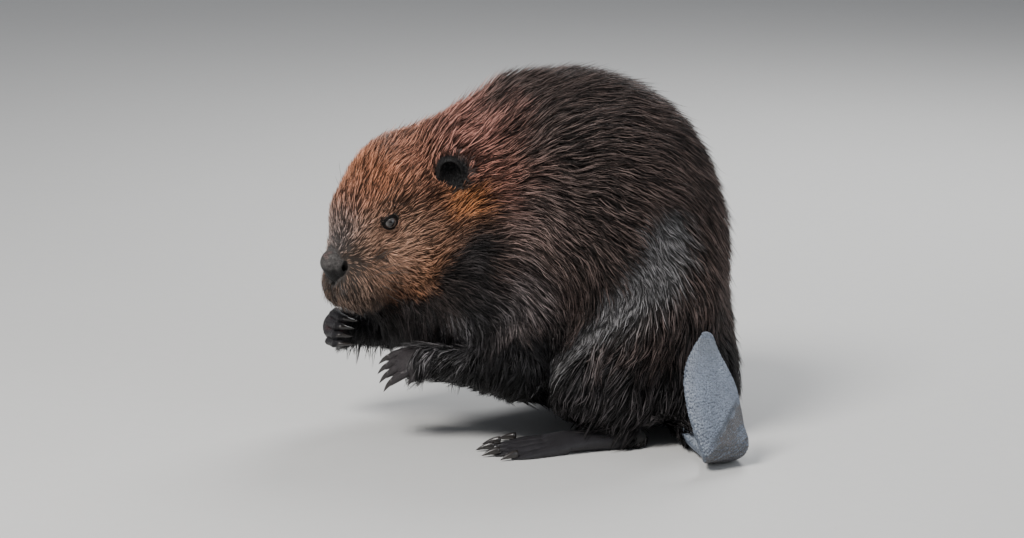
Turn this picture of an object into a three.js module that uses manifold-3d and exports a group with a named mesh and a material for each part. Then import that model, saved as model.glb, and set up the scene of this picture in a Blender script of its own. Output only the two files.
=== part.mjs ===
// A life-size beaver that sits on its rump, hunched forward, with its head turned a little to its left,
// one forepaw raised to its mouth and its scaly tail folded up beside the left haunch.
//
// Millimetres. +Z is up, the animal faces -X and its left side is towards -Y. The origin is on the
// floor, at the middle of the flat on which the rump sits. All sizes are those of the coat's outside.
//
// Head, neck, trunk, thighs and shanks are one smooth body, described by rounded forms that blend
// into each other, and then parted with thin cuts. Hands, feet and tail are lofted.

import * as THREE from "three";
import { mergeVertices } from "three/addons/utils/BufferGeometryUtils.js";
import Module from "manifold-3d";

const wasm = await Module();
wasm.setup();

const V = (x, y, z) => new THREE.Vector3(x, y, z);
const SIDES = { left: -1, right: 1 };

// ---------------------------------------------------------------- driving dimensions

const PART_GAP = 0.4; // thin cut between neighbouring pieces
const TRUNK_CELL = 32; // facet size of trunk, neck and thighs
const HEAD_CELL = 17;

const NOSE = V(-350, -53, 175); // middle of the nose pad
const HEAD_YAW = 35; // degrees, turned to the animal's left
const HEAD_PITCH = 42; // degrees, nose down

const EYE = { back: 60, aside: 35.5, up: 3, radius: 8 };
const EAR = { back: 135, aside: 58, up: -1, height: 37, width: 29, thickness: 9 };
const NOSE_PAD = { length: 31, width: 32, height: 33 };

const SEAT_RADIUS = 45; // spread of the dip that leaves only the seat on the floor
const SEAT_SINK = 12; // how far the seat is pressed flat
const BELLY_LIFT = 18; // belly and flanks above the floor
const ANKLE_DIP = 14; // how much lower the flesh reaches round each heel

const FOOT_LENGTH = 150; // heel to the ends of the toes, without claws
const FOOT_WIDTH = 58; // across the ball of the foot
const HAND_LENGTH = 46; // wrist to finger ends, without claws

// ---------------------------------------------------------------- frames

const basis = (x, y, z) => ({ x, y, z });
const WORLD = basis(V(1, 0, 0), V(0, 1, 0), V(0, 0, 1));

// Right-handed frame with x along `forward` and z as near to `up` as it can be.
function frameOf(forward, up) {
  const x = forward.clone().normalize();
  const y = up.clone().cross(x).normalize();
  return basis(x, y, x.clone().cross(y));
}

const radians = THREE.MathUtils.degToRad;
const level = Math.cos(radians(HEAD_PITCH));
const headForward = V(
  -Math.cos(radians(HEAD_YAW)) * level,
  -Math.sin(radians(HEAD_YAW)) * level,
  -Math.sin(radians(HEAD_PITCH)),
);
const HEAD = frameOf(headForward, V(0, 0, 1));

const place = (origin, frame, x, y, z) =>
  origin.clone().addScaledVector(frame.x, x).addScaledVector(frame.y, y).addScaledVector(frame.z, z);
const onHead = (back, aside, up) => place(NOSE, HEAD, -back, aside, up);

// ---------------------------------------------------------------- rounded forms

// Each form is a function that gives a point's distance from its surface, less than 0 inside.
const blob = (centre, radii, frame = WORLD) => (p) => {
  const d = p.clone().sub(centre);
  const q = V(d.dot(frame.x), d.dot(frame.y), d.dot(frame.z)).divide(radii);
  const reach = q.length();
  return (reach * (reach - 1)) / Math.max(q.divide(radii).length(), 1e-9);
};

const limb = (a, b, radiusA, radiusB) => {
  const along = b.clone().sub(a);
  return (p) => {
    const share = THREE.MathUtils.clamp(p.clone().sub(a).dot(along) / along.lengthSq(), 0, 1);
    const nearest = a.clone().addScaledVector(along, share);
    return p.distanceTo(nearest) - THREE.MathUtils.lerp(radiusA, radiusB, share);
  };
};

const blendTwo = (a, b, width) => {
  const h = Math.max(width - Math.abs(a - b), 0) / width;
  return Math.min(a, b) - (h * h * width) / 4;
};
const blend = (width, ...forms) => (p) =>
  forms.slice(1).reduce((d, form) => blendTwo(d, form(p), width), forms[0](p));

const midBlob = (x, z, length, width, height) => blob(V(x, 0, z), V(length, width, height));
const headBlob = (back, aside, up, length, width, height) =>
  blob(onHead(back, aside, up), V(length, width, height), HEAD);
const bothCheeks = (back, aside, ...rest) =>
  [aside, -aside].map((y) => headBlob(back, y, ...rest));

// ---------------------------------------------------------------- the body's forms

const trunkForm = blend(
  40,
  midBlob(-101, 239, 120, 117, 126), // arch of the back
  midBlob(-50, 169, 102, 132, 149), // loin and hips
  midBlob(-13, 40, 79, 128, 111), // rump
  midBlob(-180, 165, 87, 94, 112), // chest and shoulders
  midBlob(-115, 85, 105, 110, 85), // belly
  midBlob(-222, 118, 70, 86, 74), // breast
);

// The neck is deeper than it is wide.
const neckRound = limb(V(-176, 0, 262), onHead(128, 0, -4), 97, 49);
const neckForm = (p) => neckRound(V(p.x, p.y * 1.8, p.z));

const headForm = blend(
  16,
  headBlob(100, 0, -1, 52, 57, 55), // crown
  headBlob(142, 0, -12, 50, 57, 33), // nape
  headBlob(66, 0, 17, 46, 37, 31), // brow
  headBlob(31, 0, -3, 36, 28, 24), // muzzle
  headBlob(1, 0, -34, 26, 23, 24), // upper lip
  headBlob(31, 0, -74, 41, 32, 38), // chin
  headBlob(69, 0, -79, 50, 42, 36), // throat
  ...bothCheeks(82, 28, -44, 50, 33, 44), // cheeks, over the jaw muscle
  ...bothCheeks(2, 18, -36, 29, 21, 28), // whisker pads
);

const thighForm = (side) => limb(V(-22, side * 74, 140), V(-99, side * 112, 54), 60, 43);
const shankForm = (side) => limb(V(-97, side * 114, 57), V(-42, side * 113, 34), 42, 25);
const upperArmForm = (side, elbow) => limb(V(-200, side * 66, 158), elbow, 50, 33);

const ARM = {
  left: { elbow: V(-168, -104, 72), wrist: V(-254, -90, 86) },
  right: { elbow: V(-240, 62, 88), wrist: V(-331, 3, 96) },
};

const limbForms = Object.entries(SIDES).flatMap(([name, side]) => [
  blend(14, thighForm(side), shankForm(side)),
  upperArmForm(side, ARM[name].elbow),
]);

// The underside is clear of the floor, except for the seat and round the heels.
const dip = (p, x, y, radius) => Math.exp(-((p.x - x) ** 2 + (p.y - y) ** 2) / (2 * radius * radius));
const underside = (p) => {
  const ankles = dip(p, -66, -113, 30) + dip(p, -66, 113, 30);
  return BELLY_LIFT - (BELLY_LIFT + SEAT_SINK) * dip(p, 0, 0, SEAT_RADIUS) - ANKLE_DIP * ankles - p.z;
};

const wholeBody = (p) => {
  let d = blendTwo(trunkForm(p), neckForm(p), 45);
  d = blendTwo(d, headForm(p), 22);
  for (const form of limbForms) d = blendTwo(d, form(p), 26);
  return -blendTwo(-d, -underside(p), 16);
};

// ---------------------------------------------------------------- meshes

const CORNERS = [0, 1, 2, 3, 4, 5, 6, 7].map((c) => [c & 1, (c >> 1) & 1, c >> 2]);
const CELL_EDGES = CORNERS.flatMap((_, a) => [1, 2, 4].filter((bit) => !(a & bit)).map((bit) => [a, a | bit]));
const STEPS = [[1, 0, 0], [0, 1, 0], [0, 0, 1]];

// Labels the inside corners of a cell, the same for corners that are joined along its edges.
function labelsOf(values) {
  const labels = values.map((value, c) => (value < 0 ? c : -1));
  for (let round = 0; round < 4; round++)
    for (const [a, b] of CELL_EDGES)
      if (labels[a] >= 0 && labels[b] >= 0) labels[a] = labels[b] = Math.min(labels[a], labels[b]);
  return labels;
}

// The closed surface where `form` is 0, as a net of quads about `cell` across.
function netOf(form, low, high, cell) {
  const [nx, ny, nz] = high.clone().sub(low).divideScalar(cell).ceil().addScalar(1).toArray();
  const at = (i, j, k) => low.clone().add(V(i, j, k).multiplyScalar(cell));
  const index = (i, j, k) => (i * ny + j) * nz + k;
  const values = new Float64Array(nx * ny * nz);
  const each = (visit) => {
    for (let i = 0; i < nx; i++)
      for (let j = 0; j < ny; j++) for (let k = 0; k < nz; k++) visit(i, j, k);
  };
  each((i, j, k) => (values[index(i, j, k)] = form(at(i, j, k))));

  const vertices = [];
  const labels = new Map();
  const vertexOf = new Map();
  each((i, j, k) => {
    if (i + 1 === nx || j + 1 === ny || k + 1 === nz) return;
    const corners = CORNERS.map(([a, b, c]) => values[index(i + a, j + b, k + c)]);
    if (corners.every((value) => value < 0) || corners.every((value) => value >= 0)) return;
    const own = labelsOf(corners);
    labels.set(index(i, j, k), own);
    for (const label of new Set(own.filter((n) => n >= 0))) {
      const crossings = CELL_EDGES.filter(
        ([a, b]) => own[a] < 0 !== own[b] < 0 && Math.max(own[a], own[b]) === label,
      ).map(([a, b]) => V(...CORNERS[a]).lerp(V(...CORNERS[b]), corners[a] / (corners[a] - corners[b])));
      const middle = crossings.reduce((sum, point) => sum.add(point), V(0, 0, 0));
      const start = at(i, j, k).addScaledVector(middle, cell / crossings.length);
      vertexOf.set(index(i, j, k) * 8 + label, vertices.push(settle(form, start, cell)) - 1);
    }
  });

  const triangles = [];
  each((i, j, k) => {
    STEPS.forEach((step, axis) => {
      if (i + step[0] === nx || j + step[1] === ny || k + step[2] === nz) return;
      const inside = values[index(i, j, k)] < 0;
      if (inside === values[index(i + step[0], j + step[1], k + step[2])] < 0) return;
      const [u, w] = [STEPS[(axis + 1) % 3], STEPS[(axis + 2) % 3]];
      const ring = [[0, 0], [1, 0], [1, 1], [0, 1]].map(([a, b]) => {
        const back = [0, 1, 2].map((n) => a * u[n] + b * w[n]);
        const corner = back.map((n, m) => n + (inside ? 0 : step[m]));
        const cellIndex = index(i - back[0], j - back[1], k - back[2]);
        const label = labels.get(cellIndex)[corner[0] + 2 * corner[1] + 4 * corner[2]];
        return vertexOf.get(cellIndex * 8 + label);
      });
      if (!inside) ring.reverse();
      const [p, q, r, s] = ring;
      const shorter = vertices[p].distanceTo(vertices[r]) < vertices[q].distanceTo(vertices[s]);
      if (shorter) triangles.push(p, q, r, p, r, s);
      else triangles.push(p, q, s, q, r, s);
    });
  });
  return geometryOf(vertices, triangles);
}

// Moves a point onto the surface of `form`, by at most half a cell.
function settle(form, point, cell) {
  const start = point.clone();
  const step = 0.5;
  for (let round = 0; round < 3; round++) {
    const slope = V(
      form(point.clone().add(V(step, 0, 0))) - form(point.clone().sub(V(step, 0, 0))),
      form(point.clone().add(V(0, step, 0))) - form(point.clone().sub(V(0, step, 0))),
      form(point.clone().add(V(0, 0, step))) - form(point.clone().sub(V(0, 0, step))),
    ).divideScalar(2 * step);
    point.addScaledVector(slope, -form(point) / Math.max(slope.lengthSq(), 0.25));
  }
  return point.distanceTo(start) > cell / 2 ? start : point;
}

function geometryOf(vertices, triangles) {
  const positions = new Float32Array(vertices.flatMap((v) => v.toArray()));
  return new THREE.BufferGeometry()
    .setAttribute("position", new THREE.BufferAttribute(positions, 3))
    .setIndex(triangles);
}

// A tube along `rings`, each { at, wide, high, across, up }, closed by a point at either end.
function loft(rings, sides) {
  const vertices = [];
  const triangles = [];
  const first = rings[0];
  const last = rings[rings.length - 1];
  for (const ring of rings)
    for (let s = 0; s < sides; s++) {
      const turn = (2 * Math.PI * s) / sides;
      const point = ring.at.clone().addScaledVector(ring.across, ring.wide * Math.cos(turn));
      vertices.push(point.addScaledVector(ring.up, ring.high * Math.sin(turn)));
    }
  const start = vertices.push(first.at.clone().addScaledVector(tangentAt(rings, 0), -first.cap)) - 1;
  const end = vertices.push(last.at.clone().addScaledVector(tangentAt(rings, 1), last.cap)) - 1;
  for (let s = 0; s < sides; s++) {
    const next = (s + 1) % sides;
    triangles.push(start, next, s);
    for (let r = 0; r + 1 < rings.length; r++) {
      const [a, b] = [r * sides + s, r * sides + next];
      triangles.push(a, b, b + sides, a, b + sides, a + sides);
    }
    const base = (rings.length - 1) * sides;
    triangles.push(end, base + s, base + next);
  }
  return geometryOf(vertices, triangles);
}

function tangentAt(rings, end) {
  const [a, b] = end ? rings.slice(-2) : rings.slice(0, 2);
  return b.at.clone().sub(a.at).normalize();
}

// ---------------------------------------------------------------- solids

function solid(geometry) {
  const bare = geometry.index ? geometry.toNonIndexed() : geometry.clone();
  const only = new THREE.BufferGeometry().setAttribute("position", bare.getAttribute("position"));
  const merged = mergeVertices(only, 1e-4);
  const made = new wasm.Manifold(
    new wasm.Mesh({
      numProp: 3,
      vertProperties: merged.attributes.position.array,
      triVerts: new Uint32Array(merged.index.array),
    }),
  );
  if (made.volume() >= 0) return made;
  const flipped = Array.from(merged.index.array);
  for (let i = 0; i < flipped.length; i += 3) [flipped[i], flipped[i + 1]] = [flipped[i + 1], flipped[i]];
  return solid(new THREE.BufferGeometry().setAttribute("position", merged.attributes.position).setIndex(flipped));
}

function geometryFrom(made) {
  const { vertProperties, numProp, triVerts } = made.getMesh();
  const positions = new Float32Array((vertProperties.length / numProp) * 3);
  for (let i = 0; i < positions.length / 3; i++)
    positions.set(vertProperties.subarray(i * numProp, i * numProp + 3), i * 3);
  return new THREE.BufferGeometry()
    .setAttribute("position", new THREE.BufferAttribute(positions, 3))
    .setIndex(new THREE.BufferAttribute(triVerts, 1));
}

const joined = (...parts) => parts.reduce((all, part) => all.add(part));

// The biggest piece of a solid, without the slivers that a cut can leave.
function mainPiece(made) {
  return made.decompose().reduce((best, piece) => (piece.volume() > best.volume() ? piece : best));
}

function ellipsoid(centre, radii, frame, detail) {
  const matrix = new THREE.Matrix4().makeBasis(frame.x, frame.y, frame.z).setPosition(centre);
  matrix.scale(radii);
  return solid(new THREE.SphereGeometry(1, detail, Math.round(detail * 0.6)).applyMatrix4(matrix));
}

// Everything on the side of a plane that its normal points to.
function halfSpace(point, normal) {
  const reach = 900;
  const turn = new THREE.Quaternion().setFromUnitVectors(V(0, 0, 1), normal.clone().normalize());
  const matrix = new THREE.Matrix4().compose(point, turn, V(1, 1, 1));
  const box = new THREE.BoxGeometry(reach, reach, reach).translate(0, 0, reach / 2);
  return solid(box.applyMatrix4(matrix));
}

const away = (radii, gap) => radii.clone().addScalar(gap);
const aboveFloor = halfSpace(V(0, 0, 0), V(0, 0, 1));

// Parts `whole` by an ellipsoid: what is inside it, and the rest, a thin gap apart.
function partBy(whole, centre, radii, frame, detail) {
  return {
    inside: whole.intersect(ellipsoid(centre, radii, frame, detail)),
    rest: whole.subtract(ellipsoid(centre, away(radii, PART_GAP), frame, detail)),
  };
}

// Parts `whole` by a plane: what is ahead of it, and the rest, a thin gap apart.
function partAt(whole, point, normal) {
  const back = normal.clone().normalize();
  return {
    ahead: whole.intersect(halfSpace(point, back)),
    rest: whole.intersect(halfSpace(point.clone().addScaledVector(back, -PART_GAP), back.negate())),
  };
}

// ---------------------------------------------------------------- hands and feet

// Each of these can be made a little bigger by `grow`, to cut the room for it out of its neighbours.

const DIGIT_SIDES = 5;

// A digit from `base`, bent towards `-frame.z` by `curl` degrees over its length, with its claw.
function digit(base, heading, up, size, curl, grow) {
  const frame = frameOf(heading, up);
  const girth = [1, 1.02, 0.97, 0.68];
  const stride = size.length / (girth.length - 1);
  const bendStep = radians(curl) / (girth.length - 1);
  const aim = (n) =>
    frame.x.clone().multiplyScalar(Math.cos(n * bendStep)).addScaledVector(frame.z, -Math.sin(n * bendStep));
  const at = base.clone();
  const rings = girth.map((share, n) => {
    if (n) at.addScaledVector(aim(n), stride);
    const radius = size.radius * share + grow;
    const rise = aim(n).cross(frame.y);
    return { at: at.clone(), wide: radius, high: radius * 0.92, across: frame.y, up: rise, cap: radius / 2 };
  });
  return joined(solid(loft(rings, DIGIT_SIDES)), claw(rings[girth.length - 1], aim(girth.length - 1), size, grow));
}

// A horn claw that leaves a digit's end and curves down to a blunt point.
function claw(root, heading, size, grow) {
  const rings = [0, 0.5, 1].map((share) => {
    const at = root.at.clone().addScaledVector(heading, size.claw * share - 1);
    at.addScaledVector(root.up, -size.claw * 0.24 * share * share);
    const radius = THREE.MathUtils.lerp(size.clawRadius, 0.6, share ** 1.4) + grow;
    return { at, wide: radius * 0.85, high: radius, across: root.across, up: root.up, cap: radius };
  });
  return solid(loft(rings, DIGIT_SIDES));
}

// A hand from its wrist: palm, four fingers and a small thumb on the `thumb` side of the frame.
function hand({ wrist, frame, curl, thumb }, grow) {
  const scale = HAND_LENGTH / 46;
  const spot = (x, y, z) => place(wrist, frame, x * scale, y * scale, z * scale);
  const palm = ellipsoid(spot(16, 0, -1), V(20, 19, 10).multiplyScalar(scale).addScalar(grow), frame, 9);
  const fingers = [-1.5, -0.5, 0.5, 1.5].map((slot, n) => {
    const base = spot(25 - Math.abs(slot) * 2.4, slot * 9.2, 0);
    const heading = frame.x.clone().addScaledVector(frame.y, slot * 0.09);
    const size = { length: 24 * scale, radius: 5.3 * scale, claw: 15, clawRadius: 3 };
    return digit(base, heading, frame.z, size, curl + n * 3, grow);
  });
  const heading = frame.x.clone().multiplyScalar(0.75).addScaledVector(frame.y, thumb * 0.6);
  const size = { length: 14, radius: 4.6, claw: 7, clawRadius: 2.4 };
  return joined(palm, ...fingers, digit(spot(12, thumb * 14, -3), heading, frame.z, size, curl * 0.6, grow));
}

function forearm({ elbow, wrist }, grip, grow) {
  const end = wrist.clone().addScaledVector(grip, 6);
  const frame = frameOf(end.clone().sub(elbow), V(0, 0, 1));
  const rings = [0, 0.35, 0.7, 1].map((share) => {
    const radius = THREE.MathUtils.lerp(28, 17, share) + grow;
    return { at: elbow.clone().lerp(end, share), wide: radius, high: radius * 0.95, across: frame.y, up: frame.z, cap: 5 };
  });
  return solid(loft(rings, 10));
}

const TOES = [
  { slot: -2, length: 46, radius: 6.4 },
  { slot: -1, length: 62, radius: 7.2 },
  { slot: 0, length: 70, radius: 7.6 },
  { slot: 1, length: 68, radius: 7.4 },
  { slot: 2, length: 54, radius: 6.8 },
];
const TOE_FAN = 9; // degrees between neighbouring toes
const BALL = 82; // heel to the roots of the toes
const INSTEP = [
  { x: 6, wide: 13, high: 11 },
  { x: 26, wide: 16, high: 11.5 },
  { x: 52, wide: 21, high: 11 },
  { x: 74, wide: FOOT_WIDTH / 2 - 2, high: 10 },
  { x: 92, wide: FOOT_WIDTH / 2, high: 8 },
];

// A webbed hind foot, flat on the floor, from its heel.
function foot({ heel, heading, side }, grow) {
  const frame = frameOf(heading, V(0, 0, 1));
  const scale = FOOT_LENGTH / 150;
  const instep = INSTEP.map(({ x, wide, high }) => ({
    at: place(heel, frame, x * scale, 0, high - 2.5),
    wide: wide + grow,
    high: high + grow,
    across: frame.y,
    up: frame.z,
    cap: 7 + grow,
  }));
  const toes = TOES.map(({ slot, length, radius }) => {
    const fan = radians(slot * TOE_FAN) * -side;
    const aim = place(V(0, 0, 0), frame, Math.cos(fan), Math.sin(fan), 0);
    const root = place(heel, frame, BALL * scale, -side * slot * 10.5, radius - 2.4);
    const size = { length: length * scale, radius, claw: 17, clawRadius: 4 };
    return { root, aim, size, made: digit(root, aim, V(0, 0, 1), size, 9, grow) };
  });
  const pieces = [solid(loft(instep, 9)), ...toes.map((toe) => toe.made), webOf(toes, grow)];
  return joined(...pieces).intersect(aboveFloor);
}

// The skin between the toes: a thin fan that hangs back a little between each pair of toe ends.
function webOf(toes, grow) {
  const reach = 0.9;
  const slack = 0.84;
  const ends = toes.map(({ root, aim, size }) => root.clone().addScaledVector(aim, size.length * reach));
  const outline = ends.flatMap((end, n) => {
    if (n + 1 === ends.length) return [end];
    const between = end.clone().lerp(ends[n + 1], 0.5);
    return [end, toes[n].root.clone().lerp(toes[n + 1].root, 0.5).lerp(between, slack)];
  });
  const corners = [...outline, ...toes.map((toe) => toe.root).reverse()];
  const fan = new THREE.Shape(corners.map((p) => new THREE.Vector2(p.x, p.y)));
  const web = new THREE.ExtrudeGeometry(fan, { depth: 3.2 + 2 * grow, bevelEnabled: false });
  return solid(web.translate(0, 0, 0.9 - grow));
}

// ---------------------------------------------------------------- tail

// The tail leaves the body under the left haunch, lies on the floor and then stands up.
const TAIL_LINE = [
  { at: V(0, -24, 50), wide: 34, high: 26, turn: 0 },
  { at: V(3, -64, 33), wide: 29, high: 20, turn: 0 },
  { at: V(11, -100, 19), wide: 24, high: 13, turn: 4 },
  { at: V(23, -138, 9), wide: 21, high: 9.6, turn: 12 },
  { at: V(33, -174, 7.6), wide: 21, high: 8.4, turn: 24 },
  { at: V(35, -196, 18), wide: 26.5, high: 7.4, turn: 34 },
  { at: V(29, -201, 38), wide: 33, high: 6.4, turn: 40 },
  { at: V(23, -195, 62), wide: 36.5, high: 5.6, turn: 43 },
  { at: V(19, -183, 85), wide: 33.5, high: 4.8, turn: 43 },
  { at: V(17, -169, 106), wide: 21, high: 4, turn: 42 },
  { at: V(18, -160, 121), wide: 10, high: 3, turn: 42 },
];
const TAIL_TIP = 7;
const SCALES_FROM = V(8, -99, 20); // where fur gives way to scales

function tailRings(grow) {
  const line = new THREE.CatmullRomCurve3(TAIL_LINE.map((ring) => ring.at));
  return TAIL_LINE.map(({ at, wide, high, turn }, n) => {
    const along = line.getTangent(n / (TAIL_LINE.length - 1));
    const across = V(Math.cos(radians(turn)), Math.sin(radians(turn)), 0);
    across.addScaledVector(along, -across.dot(along)).normalize();
    const up = along.clone().cross(across).normalize();
    return { at, wide: wide + grow, high: high + grow, across, up, cap: TAIL_TIP + grow };
  });
}

function tailPieces() {
  const whole = solid(loft(tailRings(0), 14)).intersect(aboveFloor);
  const scaly = partAt(whole, SCALES_FROM, V(0.15, -1, -0.3));
  const upright = partAt(scaly.ahead, V(0, 0, 30), V(0, 0, 1));
  return {
    tail_root: scaly.rest,
    tail_blade_lower: upright.rest,
    tail_blade_upper: upright.ahead,
  };
}

// ---------------------------------------------------------------- face

const noseShape = (grow) =>
  ellipsoid(
    onHead(-1, 0, -2),
    V(NOSE_PAD.length, NOSE_PAD.width, NOSE_PAD.height).divideScalar(2).addScalar(grow),
    HEAD,
    10,
  );
const eyeShape = (side, grow) =>
  ellipsoid(onHead(EYE.back, -side * EYE.aside, EYE.up), V(1, 1, 1).multiplyScalar(EYE.radius + grow), HEAD, 8);

// The ear stands out from the head like a cupped leaf, open forwards and outwards.
function earFrame(side) {
  const normal = HEAD.y.clone().multiplyScalar(-0.72 * side);
  normal.addScaledVector(HEAD.x, 0.62).addScaledVector(HEAD.z, 0.12);
  return frameOf(normal, HEAD.z.clone().addScaledVector(HEAD.x, -0.35));
}

function ear(side, grow) {
  const frame = earFrame(side);
  const centre = onHead(EAR.back, -side * EAR.aside, EAR.up);
  const halves = V(EAR.thickness, EAR.width / 2, EAR.height / 2);
  const shell = ellipsoid(centre, away(halves, grow), frame, 10);
  const rim = 3.6;
  const hollow = V(10, EAR.width / 2 - rim - grow, EAR.height / 2 - rim - grow);
  return shell.subtract(ellipsoid(place(centre, frame, 8 + grow, 0, 1), hollow, frame, 8));
}

// ---------------------------------------------------------------- parting the body

const headMiddle = onHead(78, 0, -20);
const HEAD_REACH = 128;
const headRegion = (p) => Math.max(wholeBody(p), p.distanceTo(headMiddle) - HEAD_REACH);
const around = (middle, reach) => [middle.clone().subScalar(reach), middle.clone().addScalar(reach)];

const bodyNet = solid(netOf(wholeBody, V(-395, -195, -45), V(100, 195, 400), TRUNK_CELL)).intersect(aboveFloor);
const headNet = solid(netOf(headRegion, ...around(headMiddle, HEAD_REACH + 2 * HEAD_CELL), HEAD_CELL));

const HEAD_CUT = { centre: onHead(65, 0, -20), radii: V(99, 96, 108) };
const NECK_CUT = { point: V(-232, 0, 240), normal: V(-0.894, 0, 0.447) };
const HAUNCH_CUT = { centre: (side) => V(-48, side * 142, 104), radii: V(104, 62, 96) };
const SHOULDER_CUT = {
  left: { centre: V(-190, -112, 112), radii: V(54, 52, 66) },
  right: { centre: V(-212, 96, 118), radii: V(54, 50, 62) },
};

const headAndRest = {
  inside: partBy(headNet, HEAD_CUT.centre, HEAD_CUT.radii, HEAD, 14).inside,
  rest: partBy(bodyNet, HEAD_CUT.centre, HEAD_CUT.radii, HEAD, 14).rest,
};
const neckAndTrunk = partAt(headAndRest.rest, NECK_CUT.point, NECK_CUT.normal);

let trunk = neckAndTrunk.rest;
const flesh = {};
for (const [name, side] of Object.entries(SIDES)) {
  const haunch = partBy(trunk, HAUNCH_CUT.centre(side), HAUNCH_CUT.radii, WORLD, 12);
  const leg = partAt(haunch.inside, V(0, 0, 62), V(0, 0, 1));
  flesh["thigh_" + name] = leg.ahead;
  flesh["shank_" + name] = leg.rest;
  const shoulder = partBy(haunch.rest, SHOULDER_CUT[name].centre, SHOULDER_CUT[name].radii, WORLD, 10);
  flesh["upper_arm_" + name] = shoulder.inside;
  trunk = shoulder.rest;
}

const HANDS = {
  left: {
    wrist: ARM.left.wrist,
    frame: frameOf(V(-0.96, 0.03, -0.2), V(-0.2, -0.5, 0.8)),
    curl: 22,
    thumb: 1,
  },
  right: {
    wrist: ARM.right.wrist,
    frame: frameOf(V(-0.93, -0.28, 0.12), V(-0.2, 0.95, 0.1)),
    curl: 150,
    thumb: -1,
  },
};
const FEET = {
  left: { heel: V(-44, -112, 0), heading: V(-1, -0.13, 0), side: -1 },
  right: { heel: V(-40, 110, 0), heading: V(-1, 0.2, 0), side: 1 },
};

// ---------------------------------------------------------------- fitting the pieces to each other

const tail = tailPieces();
const room = [solid(loft(tailRings(PART_GAP), 14))];
for (const name of Object.keys(SIDES)) {
  const arm = (grow) => forearm(ARM[name], HANDS[name].frame.x, grow);
  flesh["hand_" + name] = hand(HANDS[name], 0);
  flesh["foot_" + name] = foot(FEET[name], 0);
  flesh["forearm_" + name] = arm(0).subtract(hand(HANDS[name], PART_GAP));
  room.push(arm(PART_GAP), hand(HANDS[name], PART_GAP), foot(FEET[name], PART_GAP));
}
const roomForAll = joined(...room);
const earRoom = joined(ear(-1, PART_GAP), ear(1, PART_GAP));
for (const name of Object.keys(flesh))
  if (/thigh|shank|upper_arm/.test(name)) flesh[name] = flesh[name].subtract(roomForAll);

let head = headAndRest.inside.subtract(roomForAll).subtract(noseShape(PART_GAP));
for (const side of Object.values(SIDES)) head = head.subtract(eyeShape(side, PART_GAP)).subtract(earRoom);

// ---------------------------------------------------------------- materials and the group

const paint = (color, roughness) => new THREE.MeshStandardMaterial({ color, roughness, metalness: 0 });
const MATERIALS = {
  body_fur: paint(0x2e2320, 0.75),
  head_fur: paint(0x6b4026, 0.75),
  ear_fur: paint(0x161312, 0.8),
  skin: paint(0x2b2826, 0.55),
  scales: paint(0x69747f, 0.5),
  eye: paint(0x0b0908, 0.1),
};

const beaver = new THREE.Group();
function add(name, made, material) {
  const mesh = new THREE.Mesh(geometryFrom(mainPiece(made)), MATERIALS[material]);
  mesh.name = name;
  beaver.add(mesh);
}

add("head", head, "head_fur");
add("nose", noseShape(0), "skin");
add("neck", neckAndTrunk.ahead.subtract(roomForAll).subtract(earRoom), "body_fur");
add("trunk", trunk.subtract(roomForAll).subtract(earRoom), "body_fur");
for (const [name, side] of Object.entries(SIDES)) {
  add("eye_" + name, eyeShape(side, 0), "eye");
  add("ear_" + name, ear(side, 0), "ear_fur");
}
for (const [name, made] of Object.entries(flesh))
  add(name, made, /hand|foot/.test(name) ? "skin" : "body_fur");
for (const [name, made] of Object.entries(tail)) add(name, made, name === "tail_root" ? "body_fur" : "scales");

export default beaver;
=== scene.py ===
import math

import bmesh
import bpy
import numpy as np
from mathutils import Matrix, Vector
from mathutils.kdtree import KDTree


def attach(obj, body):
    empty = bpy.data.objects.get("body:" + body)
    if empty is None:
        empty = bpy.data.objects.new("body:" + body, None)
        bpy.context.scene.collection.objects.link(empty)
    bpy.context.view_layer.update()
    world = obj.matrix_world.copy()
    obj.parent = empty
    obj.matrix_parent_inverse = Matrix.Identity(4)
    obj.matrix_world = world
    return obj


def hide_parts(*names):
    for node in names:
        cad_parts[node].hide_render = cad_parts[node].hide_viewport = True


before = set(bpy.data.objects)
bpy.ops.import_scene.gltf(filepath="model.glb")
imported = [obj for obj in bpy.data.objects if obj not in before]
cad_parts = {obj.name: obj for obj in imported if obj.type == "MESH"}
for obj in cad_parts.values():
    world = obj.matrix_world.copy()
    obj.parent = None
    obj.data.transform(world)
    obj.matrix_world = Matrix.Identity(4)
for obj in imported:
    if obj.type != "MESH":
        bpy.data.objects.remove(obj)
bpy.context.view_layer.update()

# ---------------------------------------------------------------- camera
# A long lens a little above the animal, level with its left side. It stands far enough back that the
# near paws and the far ones keep their sizes.
VIEW_DISTANCE, FRAME_WIDTH, SENSOR = 4.2, 1.024, 36.0
VIEW_DROP = math.radians(12)
VIEW_TARGET = Vector((-0.173, -0.05, 0.167))
view = bpy.data.cameras.new("view")
view.sensor_width = SENSOR
view.lens = SENSOR * VIEW_DISTANCE / FRAME_WIDTH
camera = bpy.data.objects.new("view", view)
camera.location = VIEW_TARGET + VIEW_DISTANCE * Vector((0, -math.cos(VIEW_DROP), math.sin(VIEW_DROP)))
camera.rotation_euler = (math.radians(90) - VIEW_DROP, 0, 0)
bpy.context.scene.collection.objects.link(camera)
bpy.context.scene.camera = camera

# ---------------------------------------------------------------- skin: its shape
# One hide covers the whole animal, from the nose pad to the tail. It is the outside of the coat, drawn
# in by the depth of the fur, and goes bare on the nose, the paws and the tail's blade.
# Lengths are millimetres here; meshes are made in metres.
MM = 0.001
HIDE_CELL = 2.0
SIDES = {"left": -1, "right": 1}


def vec(*numbers):
    return np.array(numbers, dtype=np.float64)


def unit(v):
    return v / np.maximum(np.linalg.norm(v, axis=-1, keepdims=True), 1e-9)


def gap_to(p, centre):
    """How far each place is from a point."""
    return np.linalg.norm(p - centre, axis=1)


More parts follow.
